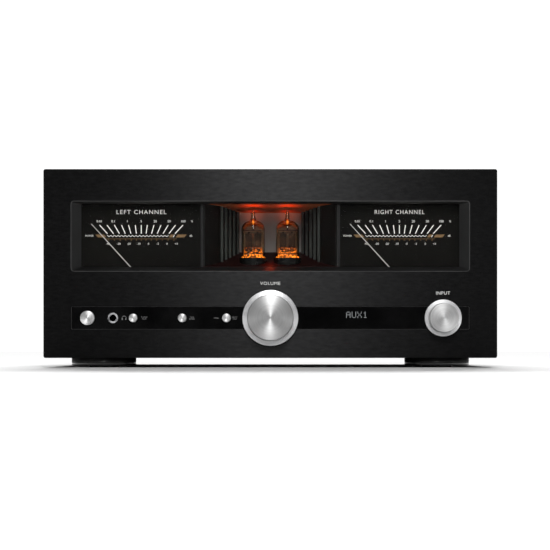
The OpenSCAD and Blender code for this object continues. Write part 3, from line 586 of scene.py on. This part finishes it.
UPPER_NUMBERS = ("0.01", "0.1", "1", "5", "20", "50", "100")
LOWER_NUMBERS = ("-40", "-30", "-20", "-10", "-5", "-3", "0", "+3")
meter_x = 123.4 * MM
pivot_z, tick_low, tick_top = 67.8, 127.8, 136.0
name_z, upper_z, middle_z, band_z, zigzag_z, line_z, level_z, lower_z = (
    148.6, 139.7, 125.8, 125.6, 125.5, 122.8, 121.7, 118.2)
tick_count, teeth = 13, 34
tick_reach, number_reach = 39.9, 40.0
for side in ("left", "right"):
    dial_low, dial_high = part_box(f"{side}_meter_dial")
    middle = math.copysign(meter_x, dial_low.x + dial_high.x)

    def on_dial(across, height):
        """A place on the print, in millimetres from the needle's axis and above the floor."""
        return middle + across * MM, dial_low.y - INK_LIFT, height * MM

    white = [lettering("channel_name", f"{side.upper()} CHANNEL", 4.1 * MM, on_dial(0, name_z),
                       spacing=1.2, width=47.5 * MM)]
    amber = []
    for tick in range(tick_count):
        share = (tick - (tick_count - 1) / 2) / ((tick_count - 1) / 2)
        top_across = tick_reach * math.copysign(abs(share) ** 1.08, share)
        low_across = top_across * (tick_low - pivot_z) / (tick_top - pivot_z) * 0.92
        lean = math.degrees(math.atan2(top_across - low_across, tick_top - tick_low))
        tall = math.hypot(top_across - low_across, tick_top - tick_low)
        centre = on_dial((top_across + low_across) / 2, (tick_top + tick_low) / 2)
        white.append(flat_bar("tick", 0.8, tall, centre, lean))
        amber.append(flat_bar("level_tick", 0.5, 1.2, on_dial(low_across * 0.97, level_z), lean))
    for step, number in enumerate(UPPER_NUMBERS):
        across = (step - 3) / 3 * number_reach
        white.append(lettering("upper_number", number, 2.3 * MM, on_dial(across, upper_z)))
    white.append(lettering("upper_unit", "%", 2.0 * MM, on_dial(48.5, upper_z)))
    for step, number in enumerate(LOWER_NUMBERS):
        across = -32.0 + 65.5 * (step / 7) ** 0.94
        white.append(lettering("lower_number", number, 2.0 * MM, on_dial(across, lower_z)))
    white.append(lettering("power_word", "POWER", 1.7 * MM, on_dial(-49.6, middle_z)))
    white.append(lettering("level_word", "dB", 1.9 * MM, on_dial(47.5, middle_z)))
    for tooth in range(teeth):
        across = -32.5 + 58.5 * (tooth + 0.5) / teeth
        lean = 50 if tooth % 2 else -50
        white.append(flat_bar("zigzag", 0.42, 2.3, on_dial(across, zigzag_z), lean))
    white.append(flat_bar("zero_tick", 0.6, 2.4, on_dial(31.2, zigzag_z), 25))
    for start, end, slant in ((-42.6, -34.6, -0.9), (27.3, 30.5, 0.7), (33.9, 42.3, 0.8)):
        spot = on_dial((start + end) / 2, band_z)
        amber.append(flat_bar("band", end - start, 2.7, spot, slant=slant))
    amber.append(flat_bar("level_line", 69.0, 0.3, on_dial(-0.4, line_z)))
    white_print = join_pieces(f"{side}_scale_print", white)
    fit_piece(white_print, CHASSIS, scale_ink_painted_glow, "needle_white")
    amber_print = join_pieces(f"{side}_scale_colour", amber)
    fit_piece(amber_print, CHASSIS, amber_ink_painted_glow, "grip_red")

# Needles
# Stamped from thin aluminium and painted white, each with a hub, a tail weight and a pivot that
# turns in the moving coil.
needle_finish, tree, shader, place = new_finish("needle_paint", (0.8, 0.79, 0.76), 0.4)
painted = marks(tree, place, clouds=150.0, grains=3000.0)
vary_colour(tree, shader, painted["Cloud"], (0.7, 0.69, 0.66), (0.85, 0.84, 0.8))
dress(needle_finish, "left_meter_needle", "right_meter_needle")

# Meter housings
# Two moulded boxes of matt black plastic, screwed behind the panel. The switches, the inlet, the
# rear sockets and the output transistors have the same black mouldings.
plastic_finish, tree, shader, place = new_finish(
    "moulded_black", (0.009, 0.009, 0.009), 0.5, Specular_IOR_Level=0.25)
moulded = marks(tree, place, clouds=70.0, grains=1800.0)
vary_colour(tree, shader, moulded["Cloud"], (0.007, 0.007, 0.007), (0.013, 0.013, 0.013))
vary_roughness(tree, shader, moulded["Cloud"], 0.42, 0.6)
raise_height(tree, shader, moulded["Grain"], 0.00004, 0.5)
dress(plastic_finish, "meter_housings", "power_inlet", "mains_rocker", "button_switches",
      "output_transistors", "display_module", "xlr_sockets", "digital_sockets")

# Tube bay
# A folded steel alcove with upright ribs along its splayed walls. Its face is painted grey, the ribs
# a darker grey than the back wall. The shade in the gaps between the ribs is painted near-black,
# and the cheeks in front of them are near-black too; the floor is painted dark red, a painted red
# glow of the tubes, and the ceiling orange-red, a painted glow.
bay_finish, tree, shader, place = new_finish(
    "bay_paint", (0.09, 0.085, 0.08), 0.55, Specular_IOR_Level=0.15)
rib_pitch, first_rib, half_rib = 3.72 * MM, 31.62 * MM, 1.3 * MM
back_half, cheek_start = 30.4 * MM, 48.2 * MM
floor_slope, floor_top = -0.281, 145.6 * MM
ceiling_slope, ceiling_low = 0.0912, 140.3 * MM
apart = add_node(tree, "ShaderNodeSeparateXYZ", {0: place})
outward = reckon(tree, "ABSOLUTE", apart.outputs[0])
along = reckon(tree, "SUBTRACT", outward, first_rib - rib_pitch / 2)
cycle = reckon(tree, "FLOORED_MODULO", along, rib_pitch)
aside = reckon(tree, "ABSOLUTE", reckon(tree, "SUBTRACT", cycle, rib_pitch / 2))
on_rib = reckon(tree, "LESS_THAN", aside, half_rib)
past_back = reckon(tree, "GREATER_THAN", outward, back_half)
before_cheek = reckon(tree, "LESS_THAN", outward, cheek_start)
gap_zone = reckon(tree, "MULTIPLY", past_back, before_cheek)
# Painted shade: between the ribs the colour is made near-black.
gap_shade = reckon(tree, "MULTIPLY", gap_zone, reckon(tree, "SUBTRACT", 1.0, on_rib))
on_cheek = reckon(tree, "SUBTRACT", 1.0, before_cheek)
over_floor = reckon(tree, "ADD", apart.outputs[2],
                    reckon(tree, "MULTIPLY", apart.outputs[1], floor_slope))
floor_glow = reckon(tree, "LESS_THAN", over_floor, floor_top)
gap_shade_and_cheek = reckon(tree, "MAXIMUM", gap_shade, on_cheek)
shade_cheek_and_floor_glow = reckon(tree, "MAXIMUM", gap_shade_and_cheek, floor_glow)
sprayed = marks(tree, place, clouds=45.0, grains=1500.0)
back_grey = blend_colours(tree, sprayed["Cloud"], (0.22, 0.22, 0.205, 1), (0.28, 0.28, 0.265, 1))
rib_grey = blend_colours(tree, sprayed["Cloud"],
                         (0.028, 0.032, 0.028, 1), (0.041, 0.045, 0.04, 1))
grey = blend_colours(tree, past_back, back_grey, rib_grey)
# Painted shade near-black for the gaps and cheeks, and a dark red floor that is painted glow.
gap_shade_floor_glow = blend_colours(tree, floor_glow, (0.003, 0.003, 0.0025, 1), (0.014, 0.002, 0.0015, 1))
inside = blend_colours(tree, shade_cheek_and_floor_glow, grey, gap_shade_floor_glow)
over_ceiling = reckon(tree, "ADD", apart.outputs[2],
                      reckon(tree, "MULTIPLY", apart.outputs[1], ceiling_slope))
ceiling_glow = reckon(tree, "GREATER_THAN", over_ceiling, ceiling_low)
# Painted glow: the ceiling is coloured orange-red where the tubes' light falls.
shade = blend_colours(tree, ceiling_glow, inside, (0.3, 0.08, 0.03, 1))
tree.links.new(shade, shader.inputs["Base Color"])
raise_height(tree, shader, sprayed["Grain"], 0.00004, 0.5)
dress(bay_finish, "tube_bay")

# Tubes
# Nine-pin glass tubes with a sealed tip: clear walls over blackened plates, mica discs that
# centre them, a getter flash inside the dome, and an orange heater glow between the plates. The
# flash and the sealed tip are given a painted orange glow, the heaters' light carried by the glass.
glass_finish, tree, shader, place = new_finish(
    "tube_glass", (1.0, 0.84, 0.66), 0.02, Transmission_Weight=1.0, IOR=1.47)
wiped = marks(tree, place, clouds=90.0, grains=900.0)
vary_roughness(tree, shader, wiped["Cloud"], 0.01, 0.06)
dress(glass_finish, "left_tube_glass", "right_tube_glass")

plate_finish, tree, shader, place = new_finish("blackened_plates", (0.03, 0.02, 0.016), 0.45, 0.6)
sooted = marks(tree, place, clouds=260.0, grains=3500.0)
vary_colour(tree, shader, sooted["Cloud"], (0.012, 0.006, 0.004), (0.05, 0.026, 0.018))
vary_roughness(tree, shader, sooted["Grain"], 0.35, 0.6)
dress(plate_finish, "tube_electrodes")



def height_of(tree, place):
    return add_node(tree, "ShaderNodeSeparateXYZ", {0: place}).outputs[2]


flash_low, flash_high = 133 * MM, 140.5 * MM
# Painted glow: the flash emits orange where it is seen edge-on, and its lower part is coloured amber.
flash_glow_finish, tree, shader, place = new_finish(
    "getter_flash_glow", (0.2, 0.12, 0.06), 0.12, 0.9, Emission_Strength=0.6)
height = height_of(tree, place)
fade = rescale(tree, height, flash_low, flash_high)
smoky = marks(tree, place, clouds=180.0, grains=2500.0)
flash_painted_amber = blend_colours(tree, fade, (0.1, 0.03, 0.008, 1), (0.02, 0.012, 0.01, 1))
tree.links.new(flash_painted_amber, shader.inputs["Base Color"])
vary_roughness(tree, shader, smoky["Cloud"], 0.08, 0.22)
edge_on = add_node(tree, "ShaderNodeLayerWeight", {"Blend": 0.12}).outputs["Facing"]
rim_glow = blend_colours(tree, edge_on, (0.02, 0.004, 0.001, 1), (0.85, 0.16, 0.02, 1))
tree.links.new(rim_glow, shader.inputs["Emission Color"])
seen_edge = rescale(tree, edge_on, 0.05, 0.6, 0.06, 1.0)
soft_edge = rescale(tree, height, 132.5 * MM, 135.2 * MM)
film = reckon(tree, "MULTIPLY", seen_edge, soft_edge)
tree.links.new(film, shader.inputs["Alpha"])

mica_finish, tree, shader, place = new_finish("mica", (0.5, 0.34, 0.3), 0.3)
layered = marks(tree, place, clouds=400.0, grains=4000.0)
vary_colour(tree, shader, layered["Cloud"], (0.32, 0.2, 0.17), (0.6, 0.42, 0.36))

heater_finish, tree, shader, place = new_finish(
    "heater_glow", (0.02, 0.008, 0.004), 0.4, Emission_Strength=3.0)
height = height_of(tree, place)
glow_fade = rescale(tree, height, 107 * MM, 115.5 * MM, 1.0, 0.0)
cells = add_node(tree, "ShaderNodeTexVoronoi", {"Vector": place, "Scale": 520.0})
sparks = rescale(tree, cells.outputs["Distance"], 0.2, 0.62, 1.0, 0.0)
lit = reckon(tree, "MULTIPLY", sparks, glow_fade)
embers = blend_colours(tree, lit, (0.03, 0.002, 0.0, 1), (1.0, 0.27, 0.02, 1))
tree.links.new(embers, shader.inputs["Emission Color"])
tree.links.new(sparks, shader.inputs["Alpha"])

# Painted glow: the sealed tip is an emissive bead, orange at its base and red above, standing for the
# heaters' light the glass carries up to it.
seal_z = 138.2
seal_finish, tree, shader, place = new_finish(
    "sealed_tip_glow", (0.2, 0.06, 0.01), 0.3, Emission_Strength=1.6)
height = height_of(tree, place)
glow_fade = rescale(tree, height, seal_z * MM, 142 * MM)
tip_glow_colour = blend_colours(tree, glow_fade, (1.0, 0.42, 0.06, 1), (0.6, 0.06, 0.0, 1))
tree.links.new(tip_glow_colour, shader.inputs["Emission Color"])

UPWARDS = (0, 0, 1)
inner_r, dome_rise, film_t = 9.9, 6.4, 0.25
heater_z, dome_z = 105.1, 132.3
for side in ("left", "right"):
    low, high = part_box(f"{side}_tube_glass")
    axis_x, axis_y = (low.x + high.x) / 2, (low.y + high.y) / 2
    angles = [math.radians(9.5 * step) for step in range(9)]
    dome = [(inner_r * math.cos(angle), dome_rise * math.sin(angle)) for angle in angles]
    dome += [((inner_r - film_t) * math.cos(angle), dome_rise * math.sin(angle) - film_t)
             for angle in reversed(angles)]
    flash = turned(f"{side}_getter_flash_glow", dome, (axis_x, axis_y, dome_z * MM), UPWARDS, 64)
    fit_piece(flash, CHASSIS, flash_glow_finish, "electrode_metal")
    discs = [turned("mica_disc", [(9.6, 0), (9.7, 0.1), (9.7, 0.3), (9.6, 0.4), (0.5, 0.4)],
                    (axis_x, axis_y, disc_z * MM), UPWARDS, 48) for disc_z in (108.2, 130.2)]
    mica = join_pieces(f"{side}_mica_discs", discs)
    fit_piece(mica, CHASSIS, mica_finish, "electrode_metal")
    glow = turned(f"{side}_heater_glow",
                  [(8.7, 0), (8.9, 0.3), (9.0, 3.0), (8.8, 10.2), (8.6, 10.2), (8.8, 3.0),
                   (8.6, 0.5), (1.0, 0.5)], (axis_x, axis_y, heater_z * MM), UPWARDS, 48)
    fit_piece(glow, CHASSIS, heater_finish, "electrode_metal")
    tip_glow_bead = turned(f"{side}_seal_glow_bead", [(0.9, 0), (1.3, 0.7), (0.9, 1.9), (0.4, 3.4), (0.2, 4.2)],
                   (axis_x, axis_y, seal_z * MM), UPWARDS, 24)
    fit_piece(tip_glow_bead, CHASSIS, seal_finish, "electrode_metal")

# Tube sockets
# Moulded black phenolic rings, soldered to the tube board. Each grips the nine pins of its tube.
socket_finish, tree, shader, place = new_finish(
    "socket_phenolic", (0.004, 0.004, 0.004), 0.22, Specular_IOR_Level=0.2)
moulded = marks(tree, place, clouds=120.0, grains=2500.0)
vary_colour(tree, shader, moulded["Cloud"], (0.003, 0.003, 0.003), (0.006, 0.006, 0.0055))
vary_roughness(tree, shader, moulded["Cloud"], 0.18, 0.28)
dress(socket_finish, "tube_sockets")

# Circuit boards
# Glass-epoxy boards under a green solder mask, with copper tracks and tinned pads showing
# through. They stand on pillars or are screwed to the heat sinks.
board_finish, tree, shader, place = new_finish("solder_mask", (0.01, 0.06, 0.03), 0.3)
squares = add_node(tree, "ShaderNodeTexVoronoi",
                   {"Vector": place, "Scale": 190.0, "Randomness": 0.9},
                   distance="MANHATTAN", feature="DISTANCE_TO_EDGE")
track = reckon(tree, "LESS_THAN", squares.outputs["Distance"], 0.09)
pads = add_node(tree, "ShaderNodeTexVoronoi", {"Vector": place, "Scale": 260.0, "Randomness": 0.25})
pad = reckon(tree, "LESS_THAN", pads.outputs["Distance"], 0.2)
masked = blend_colours(tree, track, (0.006, 0.042, 0.02, 1), (0.014, 0.085, 0.04, 1))
padded = blend_colours(tree, pad, masked, (0.5, 0.5, 0.48, 1))
tree.links.new(padded, shader.inputs["Base Color"])
raise_height(tree, shader, track, 0.00004, 0.6)
dress(board_finish, "control_board", "tube_board", "power_supply_board", "amplifier_boards",
      "input_board")

# Case
# Two-millimetre steel sheet, folded and powder-coated in fine-textured black, with thicker
# aluminium cheeks at the sides. Screws hold the lid and base to the cheeks.
coat_finish, tree, shader, place = new_finish(
    "powder_coat", (0.014, 0.014, 0.0145), 0.48, Specular_IOR_Level=0.2)
coated = marks(tree, place, clouds=12.0, grains=1400.0)
vary_colour(tree, shader, coated["Cloud"], (0.011, 0.011, 0.0115), (0.02, 0.02, 0.0205))
vary_roughness(tree, shader, coated["Cloud"], 0.42, 0.58)
raise_height(tree, shader, coated["Grain"], 0.00008, 0.6)
dress(coat_finish, "chassis_base", "left_side_panel", "right_side_panel", "top_cover", "rear_panel")

# Screws
# Small machine screws, blackened over zinc and worn a little where the driver goes in.
screw_finish, tree, shader, place = new_finish("black_zinc", (0.03, 0.03, 0.032), 0.32, 0.8)
plated = marks(tree, place, clouds=300.0, grains=4000.0)
vary_colour(tree, shader, plated["Cloud"], (0.02, 0.02, 0.022), (0.07, 0.07, 0.072))
vary_roughness(tree, shader, plated["Grain"], 0.26, 0.45)
dress(screw_finish, "screws")

# Feet
# Turned aluminium discs lacquered gloss black, with a rounded lower edge and a counterbore for
# the screw, each standing on a rubber pad.
foot_finish, tree, shader, place = new_finish(
    "foot_lacquer", (0.004, 0.004, 0.004), 0.14, Coat_Weight=0.6)
handled = marks(tree, place, clouds=60.0, grains=2500.0)
vary_colour(tree, shader, handled["Cloud"], (0.003, 0.003, 0.003), (0.008, 0.008, 0.008))
vary_roughness(tree, shader, handled["Cloud"], 0.1, 0.22)
low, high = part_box("feet")
foot_r, foot_round = 31.2, 0.9
foot_low, foot_high = 1.7, 9.0
screw_hole_r, hole_depth, round_steps = 4.5, 3.3, 7
foot_outline = [(screw_hole_r, foot_low + hole_depth), (screw_hole_r, foot_low)]
for step in range(round_steps + 1):
    angle = math.radians(90 / round_steps * step)
    foot_outline.append((foot_r - foot_round * (1 - math.sin(angle)),
                         foot_low + foot_round * (1 - math.cos(angle))))
foot_outline += [(foot_r, foot_high - 0.8), (foot_r - 0.25, foot_high - 0.25),
                 (foot_r - 0.8, foot_high), (0.5, foot_high)]
for end, across, along in (("front", 161.4, -140), ("rear", 181.4, 130)):
    for side, sign in (("left", -1), ("right", 1)):
        foot = turned(f"{end}_{side}_foot", foot_outline, (sign * across * MM, along * MM, 0),
                      UPWARDS, 128)
        fit_piece(foot, CHASSIS, foot_finish, "foot_gloss", "feet")

# Foot pads
# Discs of dense black rubber in the feet's lower faces, scuffed grey where they stand.
pad_finish, tree, shader, place = new_finish("pad_rubber", (0.02, 0.02, 0.02), 0.75)
worn = marks(tree, place, clouds=90.0, grains=2000.0)
vary_colour(tree, shader, worn["Cloud"], (0.014, 0.014, 0.014), (0.034, 0.034, 0.034))
raise_height(tree, shader, worn["Grain"], 0.00006, 0.6)
dress(pad_finish, "foot_pads")

# Transformer, capacitors and heat sinks
# A ring transformer under overlapping amber tape, four sleeved capacitors with vented tops, and
# two extruded heat sinks anodised black.
tape_finish, tree, shader, place = new_finish("amber_tape", (0.4, 0.17, 0.03), 0.3, Coat_Weight=0.2)
to_ring = (0, 0.065, 0)
centred = add_node(tree, "ShaderNodeMapping", {"Vector": place, "Location": to_ring})
turns = add_node(tree, "ShaderNodeTexGradient", {"Vector": centred.outputs[0]}, gradient_type="RADIAL")
tape_laps = 56.0
lap = reckon(tree, "FRACT", reckon(tree, "MULTIPLY", turns.outputs["Fac"], tape_laps))
vary_colour(tree, shader, lap, (0.22, 0.085, 0.012), (0.5, 0.23, 0.05), 0.0, 1.0)
raise_height(tree, shader, lap, 0.0004, 0.7)
dress(tape_finish, "toroid_transformer")

sleeve_finish, tree, shader, place = new_finish("capacitor_sleeve", (0.01, 0.02, 0.09), 0.28)
shrunk = marks(tree, place, clouds=60.0, grains=1800.0)
sleeve_top = 73.8 * MM
on_top = reckon(tree, "GREATER_THAN", height_of(tree, place), sleeve_top)
sleeve = blend_colours(tree, shrunk["Cloud"], (0.008, 0.014, 0.07, 1), (0.016, 0.03, 0.12, 1))
can_top = blend_colours(tree, on_top, sleeve, (0.5, 0.5, 0.52, 1))
tree.links.new(can_top, shader.inputs["Base Color"])
tree.links.new(on_top, shader.inputs["Metallic"])
raise_height(tree, shader, shrunk["Grain"], 0.00003, 0.3)
dress(sleeve_finish, "filter_capacitors")

sink_finish, tree, shader, place = new_finish("sink_anodised", (0.02, 0.02, 0.021), 0.4, 0.6)
drawn = add_node(tree, "ShaderNodeMapping", {"Vector": place, "Scale": (1.0, 1.0, 0.05)})
extruded = use_group(tree, brushing, {"Place": drawn.outputs[0], "Fineness": 900.0})
vary_colour(tree, shader, extruded["Streaks"], (0.014, 0.014, 0.015), (0.034, 0.034, 0.036))
vary_roughness(tree, shader, extruded["Lines"], 0.32, 0.5)
dress(sink_finish, "left_heat_sink", "right_heat_sink")

# Rear sockets
# Turned brass phono sockets, plated with gold, and speaker terminals with a clamp nut under each
# insulated grip. The grips are red and black plastic, moulded on the nuts.
gold_finish, tree, shader, place = new_finish("gold_plate", (0.85, 0.6, 0.22), 0.2, 1.0)
plated = marks(tree, place, clouds=250.0, grains=4000.0)
vary_colour(tree, shader, plated["Cloud"], (0.74, 0.5, 0.17), (0.92, 0.68, 0.3))
vary_roughness(tree, shader, plated["Cloud"], 0.14, 0.28)
dress(gold_finish, "rca_sockets", "speaker_studs", *(f"post_{i}_nut" for i in range(1, 5)))

RED_GRIP = ((0.3, 0.012, 0.01), (0.42, 0.02, 0.015), (1, 3))
BLACK_GRIP = ((0.006, 0.006, 0.006), (0.014, 0.014, 0.014), (2, 4))
for shade_name, (deep, pale, numbers) in (("red", RED_GRIP), ("black", BLACK_GRIP)):
    grip_finish, tree, shader, place = new_finish(f"grip_{shade_name}", pale, 0.28)
    moulded = marks(tree, place, clouds=140.0, grains=3000.0)
    vary_colour(tree, shader, moulded["Cloud"], deep, pale)
    vary_roughness(tree, shader, moulded["Grain"], 0.22, 0.38)
    dress(grip_finish, *(f"post_{i}_grip" for i in numbers))

# Rear legends
# Pale words screen-printed beside the sockets, all of them plain functions, and the signs of the
# speaker terminals below each.
REAR_UPRIGHT = TO_REAR @ UPRIGHT
rear_print_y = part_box("rear_panel")[1].y + INK_LIFT
rear_words = []


def rear_word(words, across, rise, cap=2.0):
    spot = (across * MM, rear_print_y, rise * MM)
    rear_words.append(lettering("rear_word", words, cap * MM, spot, REAR_UPRIGHT))


phono_pitch, phono_start, phono_word_z = 19, -155, 122
phono_names = ("LINE 1", "LINE 2", "LINE 3", "LINE 4", "PHONO", "TAPE", "PRE OUT")
for column, words in enumerate(phono_names):
    rear_word(words, phono_start + column * phono_pitch, phono_word_z)
row_word_x = phono_start + len(phono_names) * phono_pitch
for words, row_z in (("RIGHT", 136), ("LEFT", 158)):
    rear_word(words, row_word_x, row_z)
rear_word("BALANCED", 13.5, 124)
for words, across in (("OPTICAL", -139), ("COAX", -106), ("USB", -82), ("TRIGGER", -52)):
    rear_word(words, across, 93)
for side, red_x, black_x in (("RIGHT", -168, -140), ("LEFT", 100, 128)):
    rear_word(f"SPEAKER {side}", (red_x + black_x) / 2, 66, cap=2.4)
    rear_word("+", red_x, 32, cap=3.2)
    rear_word("-", black_x, 32, cap=3.2)
rear_word("MAINS", 182, 98, cap=2.2)
rear_print = join_pieces("rear_print", rear_words)
# The same pale ink, with its painted glow.
fit_piece(rear_print, CHASSIS, ink_painted_glow, "needle_white")

# Light in the tube bay
# Small orange lamps: one in front of each tube shines on the ceiling, one behind it on the top of
# the back wall, and one between the tubes on the floor.


def small_lamp(name, place, colour, power, cone, tilt):
    """A lamp at a place in millimetres; a tilt of 0 shines down and 180 shines up."""
    data = bpy.data.lights.new(name, "SPOT")
    data.color = colour
    data.energy = power
    data.spot_size = math.radians(cone)
    data.spot_blend = 1.0
    data.shadow_soft_size = 0.003
    lamp = bpy.data.objects.new(name, data)
    lamp.location = Vector(place) * MM
    lamp.rotation_euler = (math.radians(tilt), 0, 0)
    bpy.context.scene.collection.objects.link(lamp)


tube_aside = 16.5
for side in (-1, 1):
    small_lamp("ceiling_lamp", (side * tube_aside, -161, 143), (1.0, 0.12, 0.0),
               power=0.02, cone=128, tilt=165)
    small_lamp("wall_lamp", (side * tube_aside, -131, 147), (1.0, 0.1, 0.0),
               power=0.006, cone=160, tilt=130)
small_lamp("floor_lamp", (0, -163, 110), (1.0, 0.06, 0.0), power=0.005, cone=150, tilt=0)

# Floor
# A plain pale studio floor with no gloss, painted white. It runs well past the view on every
# side.
bpy.ops.object.select_all(action="DESELECT")
bpy.ops.mesh.primitive_plane_add(size=14)
floor = bpy.context.object
floor.name = "studio_floor"
floor_finish, tree, shader, place = new_finish(
    "studio_floor", (0.92, 0.92, 0.92), 0.6, Specular_IOR_Level=0.0)
floor.data.materials.append(floor_finish)

# Studio light
# Two broad distant lights from behind, one for the amplifier and a lower one for the floor
# alone, so that its shadow falls towards the viewer. In front are two soft panels: the spun
# knobs turn the nearer one into fans, and the tall one is a soft band down the panel.
scene = bpy.context.scene
scene.view_settings.view_transform = "Standard"
world = bpy.data.worlds.new("studio")
scene.world = world
world.use_nodes = True
backdrop = world.node_tree.nodes["Background"]
seen = add_node(world.node_tree, "ShaderNodeLightPath")
fill, white_backdrop = 0.12, 1.1
brightness = rescale(world.node_tree, seen.outputs["Is Camera Ray"], 0.0, 1.0, fill, white_backdrop)
world.node_tree.links.new(brightness, backdrop.inputs["Strength"])
backdrop.inputs["Color"].default_value = (1, 1, 1, 1)


def soft_panel(name, place, aim, width, height, power):
    """A rectangular light at a place in metres, turned to a point it is aimed at."""
    data = bpy.data.lights.new(name, "AREA")
    data.shape = "RECTANGLE"
    data.size = width
    data.size_y = height
    data.energy = power
    panel = bpy.data.objects.new(name, data)
    panel.location = place
    panel.rotation_euler = (Vector(aim) - Vector(place)).to_track_quat("-Z", "Y").to_euler()
    scene.collection.objects.link(panel)


def broad_light(name, power, spread, lean, floor_part):
    """A distant broad light from behind; the floor is in its group, taken in or left out."""
    data = bpy.data.lights.new(name, "SUN")
    data.energy = power
    data.angle = math.radians(spread)
    light = bpy.data.objects.new(name, data)
    light.rotation_euler = (math.radians(lean), 0, 0)
    scene.collection.objects.link(light)
    reached = bpy.data.collections.new(f"{name}_reach")
    reached.objects.link(floor)
    reached.collection_objects[0].light_linking.link_state = floor_part
    light.light_linking.receiver_collection = reached


broad_light("ceiling_light", power=4.2, spread=60, lean=-50, floor_part="EXCLUDE")
broad_light("floor_light", power=8.6, spread=38, lean=-70, floor_part="INCLUDE")
soft_panel("front_fan", (0.06, -1.5, 1.05), (0, -0.19, 0.05), width=0.34, height=0.45, power=9)
soft_panel("centre_card", (0.0, -2.3, 0.85), (0, -0.19, 0.1), width=0.24, height=0.8, power=8.5)

# Camera
# Level with the lower edge of the panel and square to it, shifted up to frame the whole face.
camera_data = bpy.data.cameras.new("camera")
camera = bpy.data.objects.new("camera", camera_data)
scene.collection.objects.link(camera)
scene.camera = camera
eye_z = 19 * MM
middle_z = 87.6 * MM
distance = 1.8
view_width = 520.9 * MM
sensor = 36
camera.location = (0, face_y - distance, eye_z)
camera.rotation_euler = (math.radians(90), 0, 0)
camera_data.sensor_width = sensor
camera_data.lens = sensor * distance / view_width
camera_data.shift_x = 0.0085
camera_data.shift_y = (middle_z - eye_z) / view_width
camera_data.clip_start = 0.05
camera_data.clip_end = 50
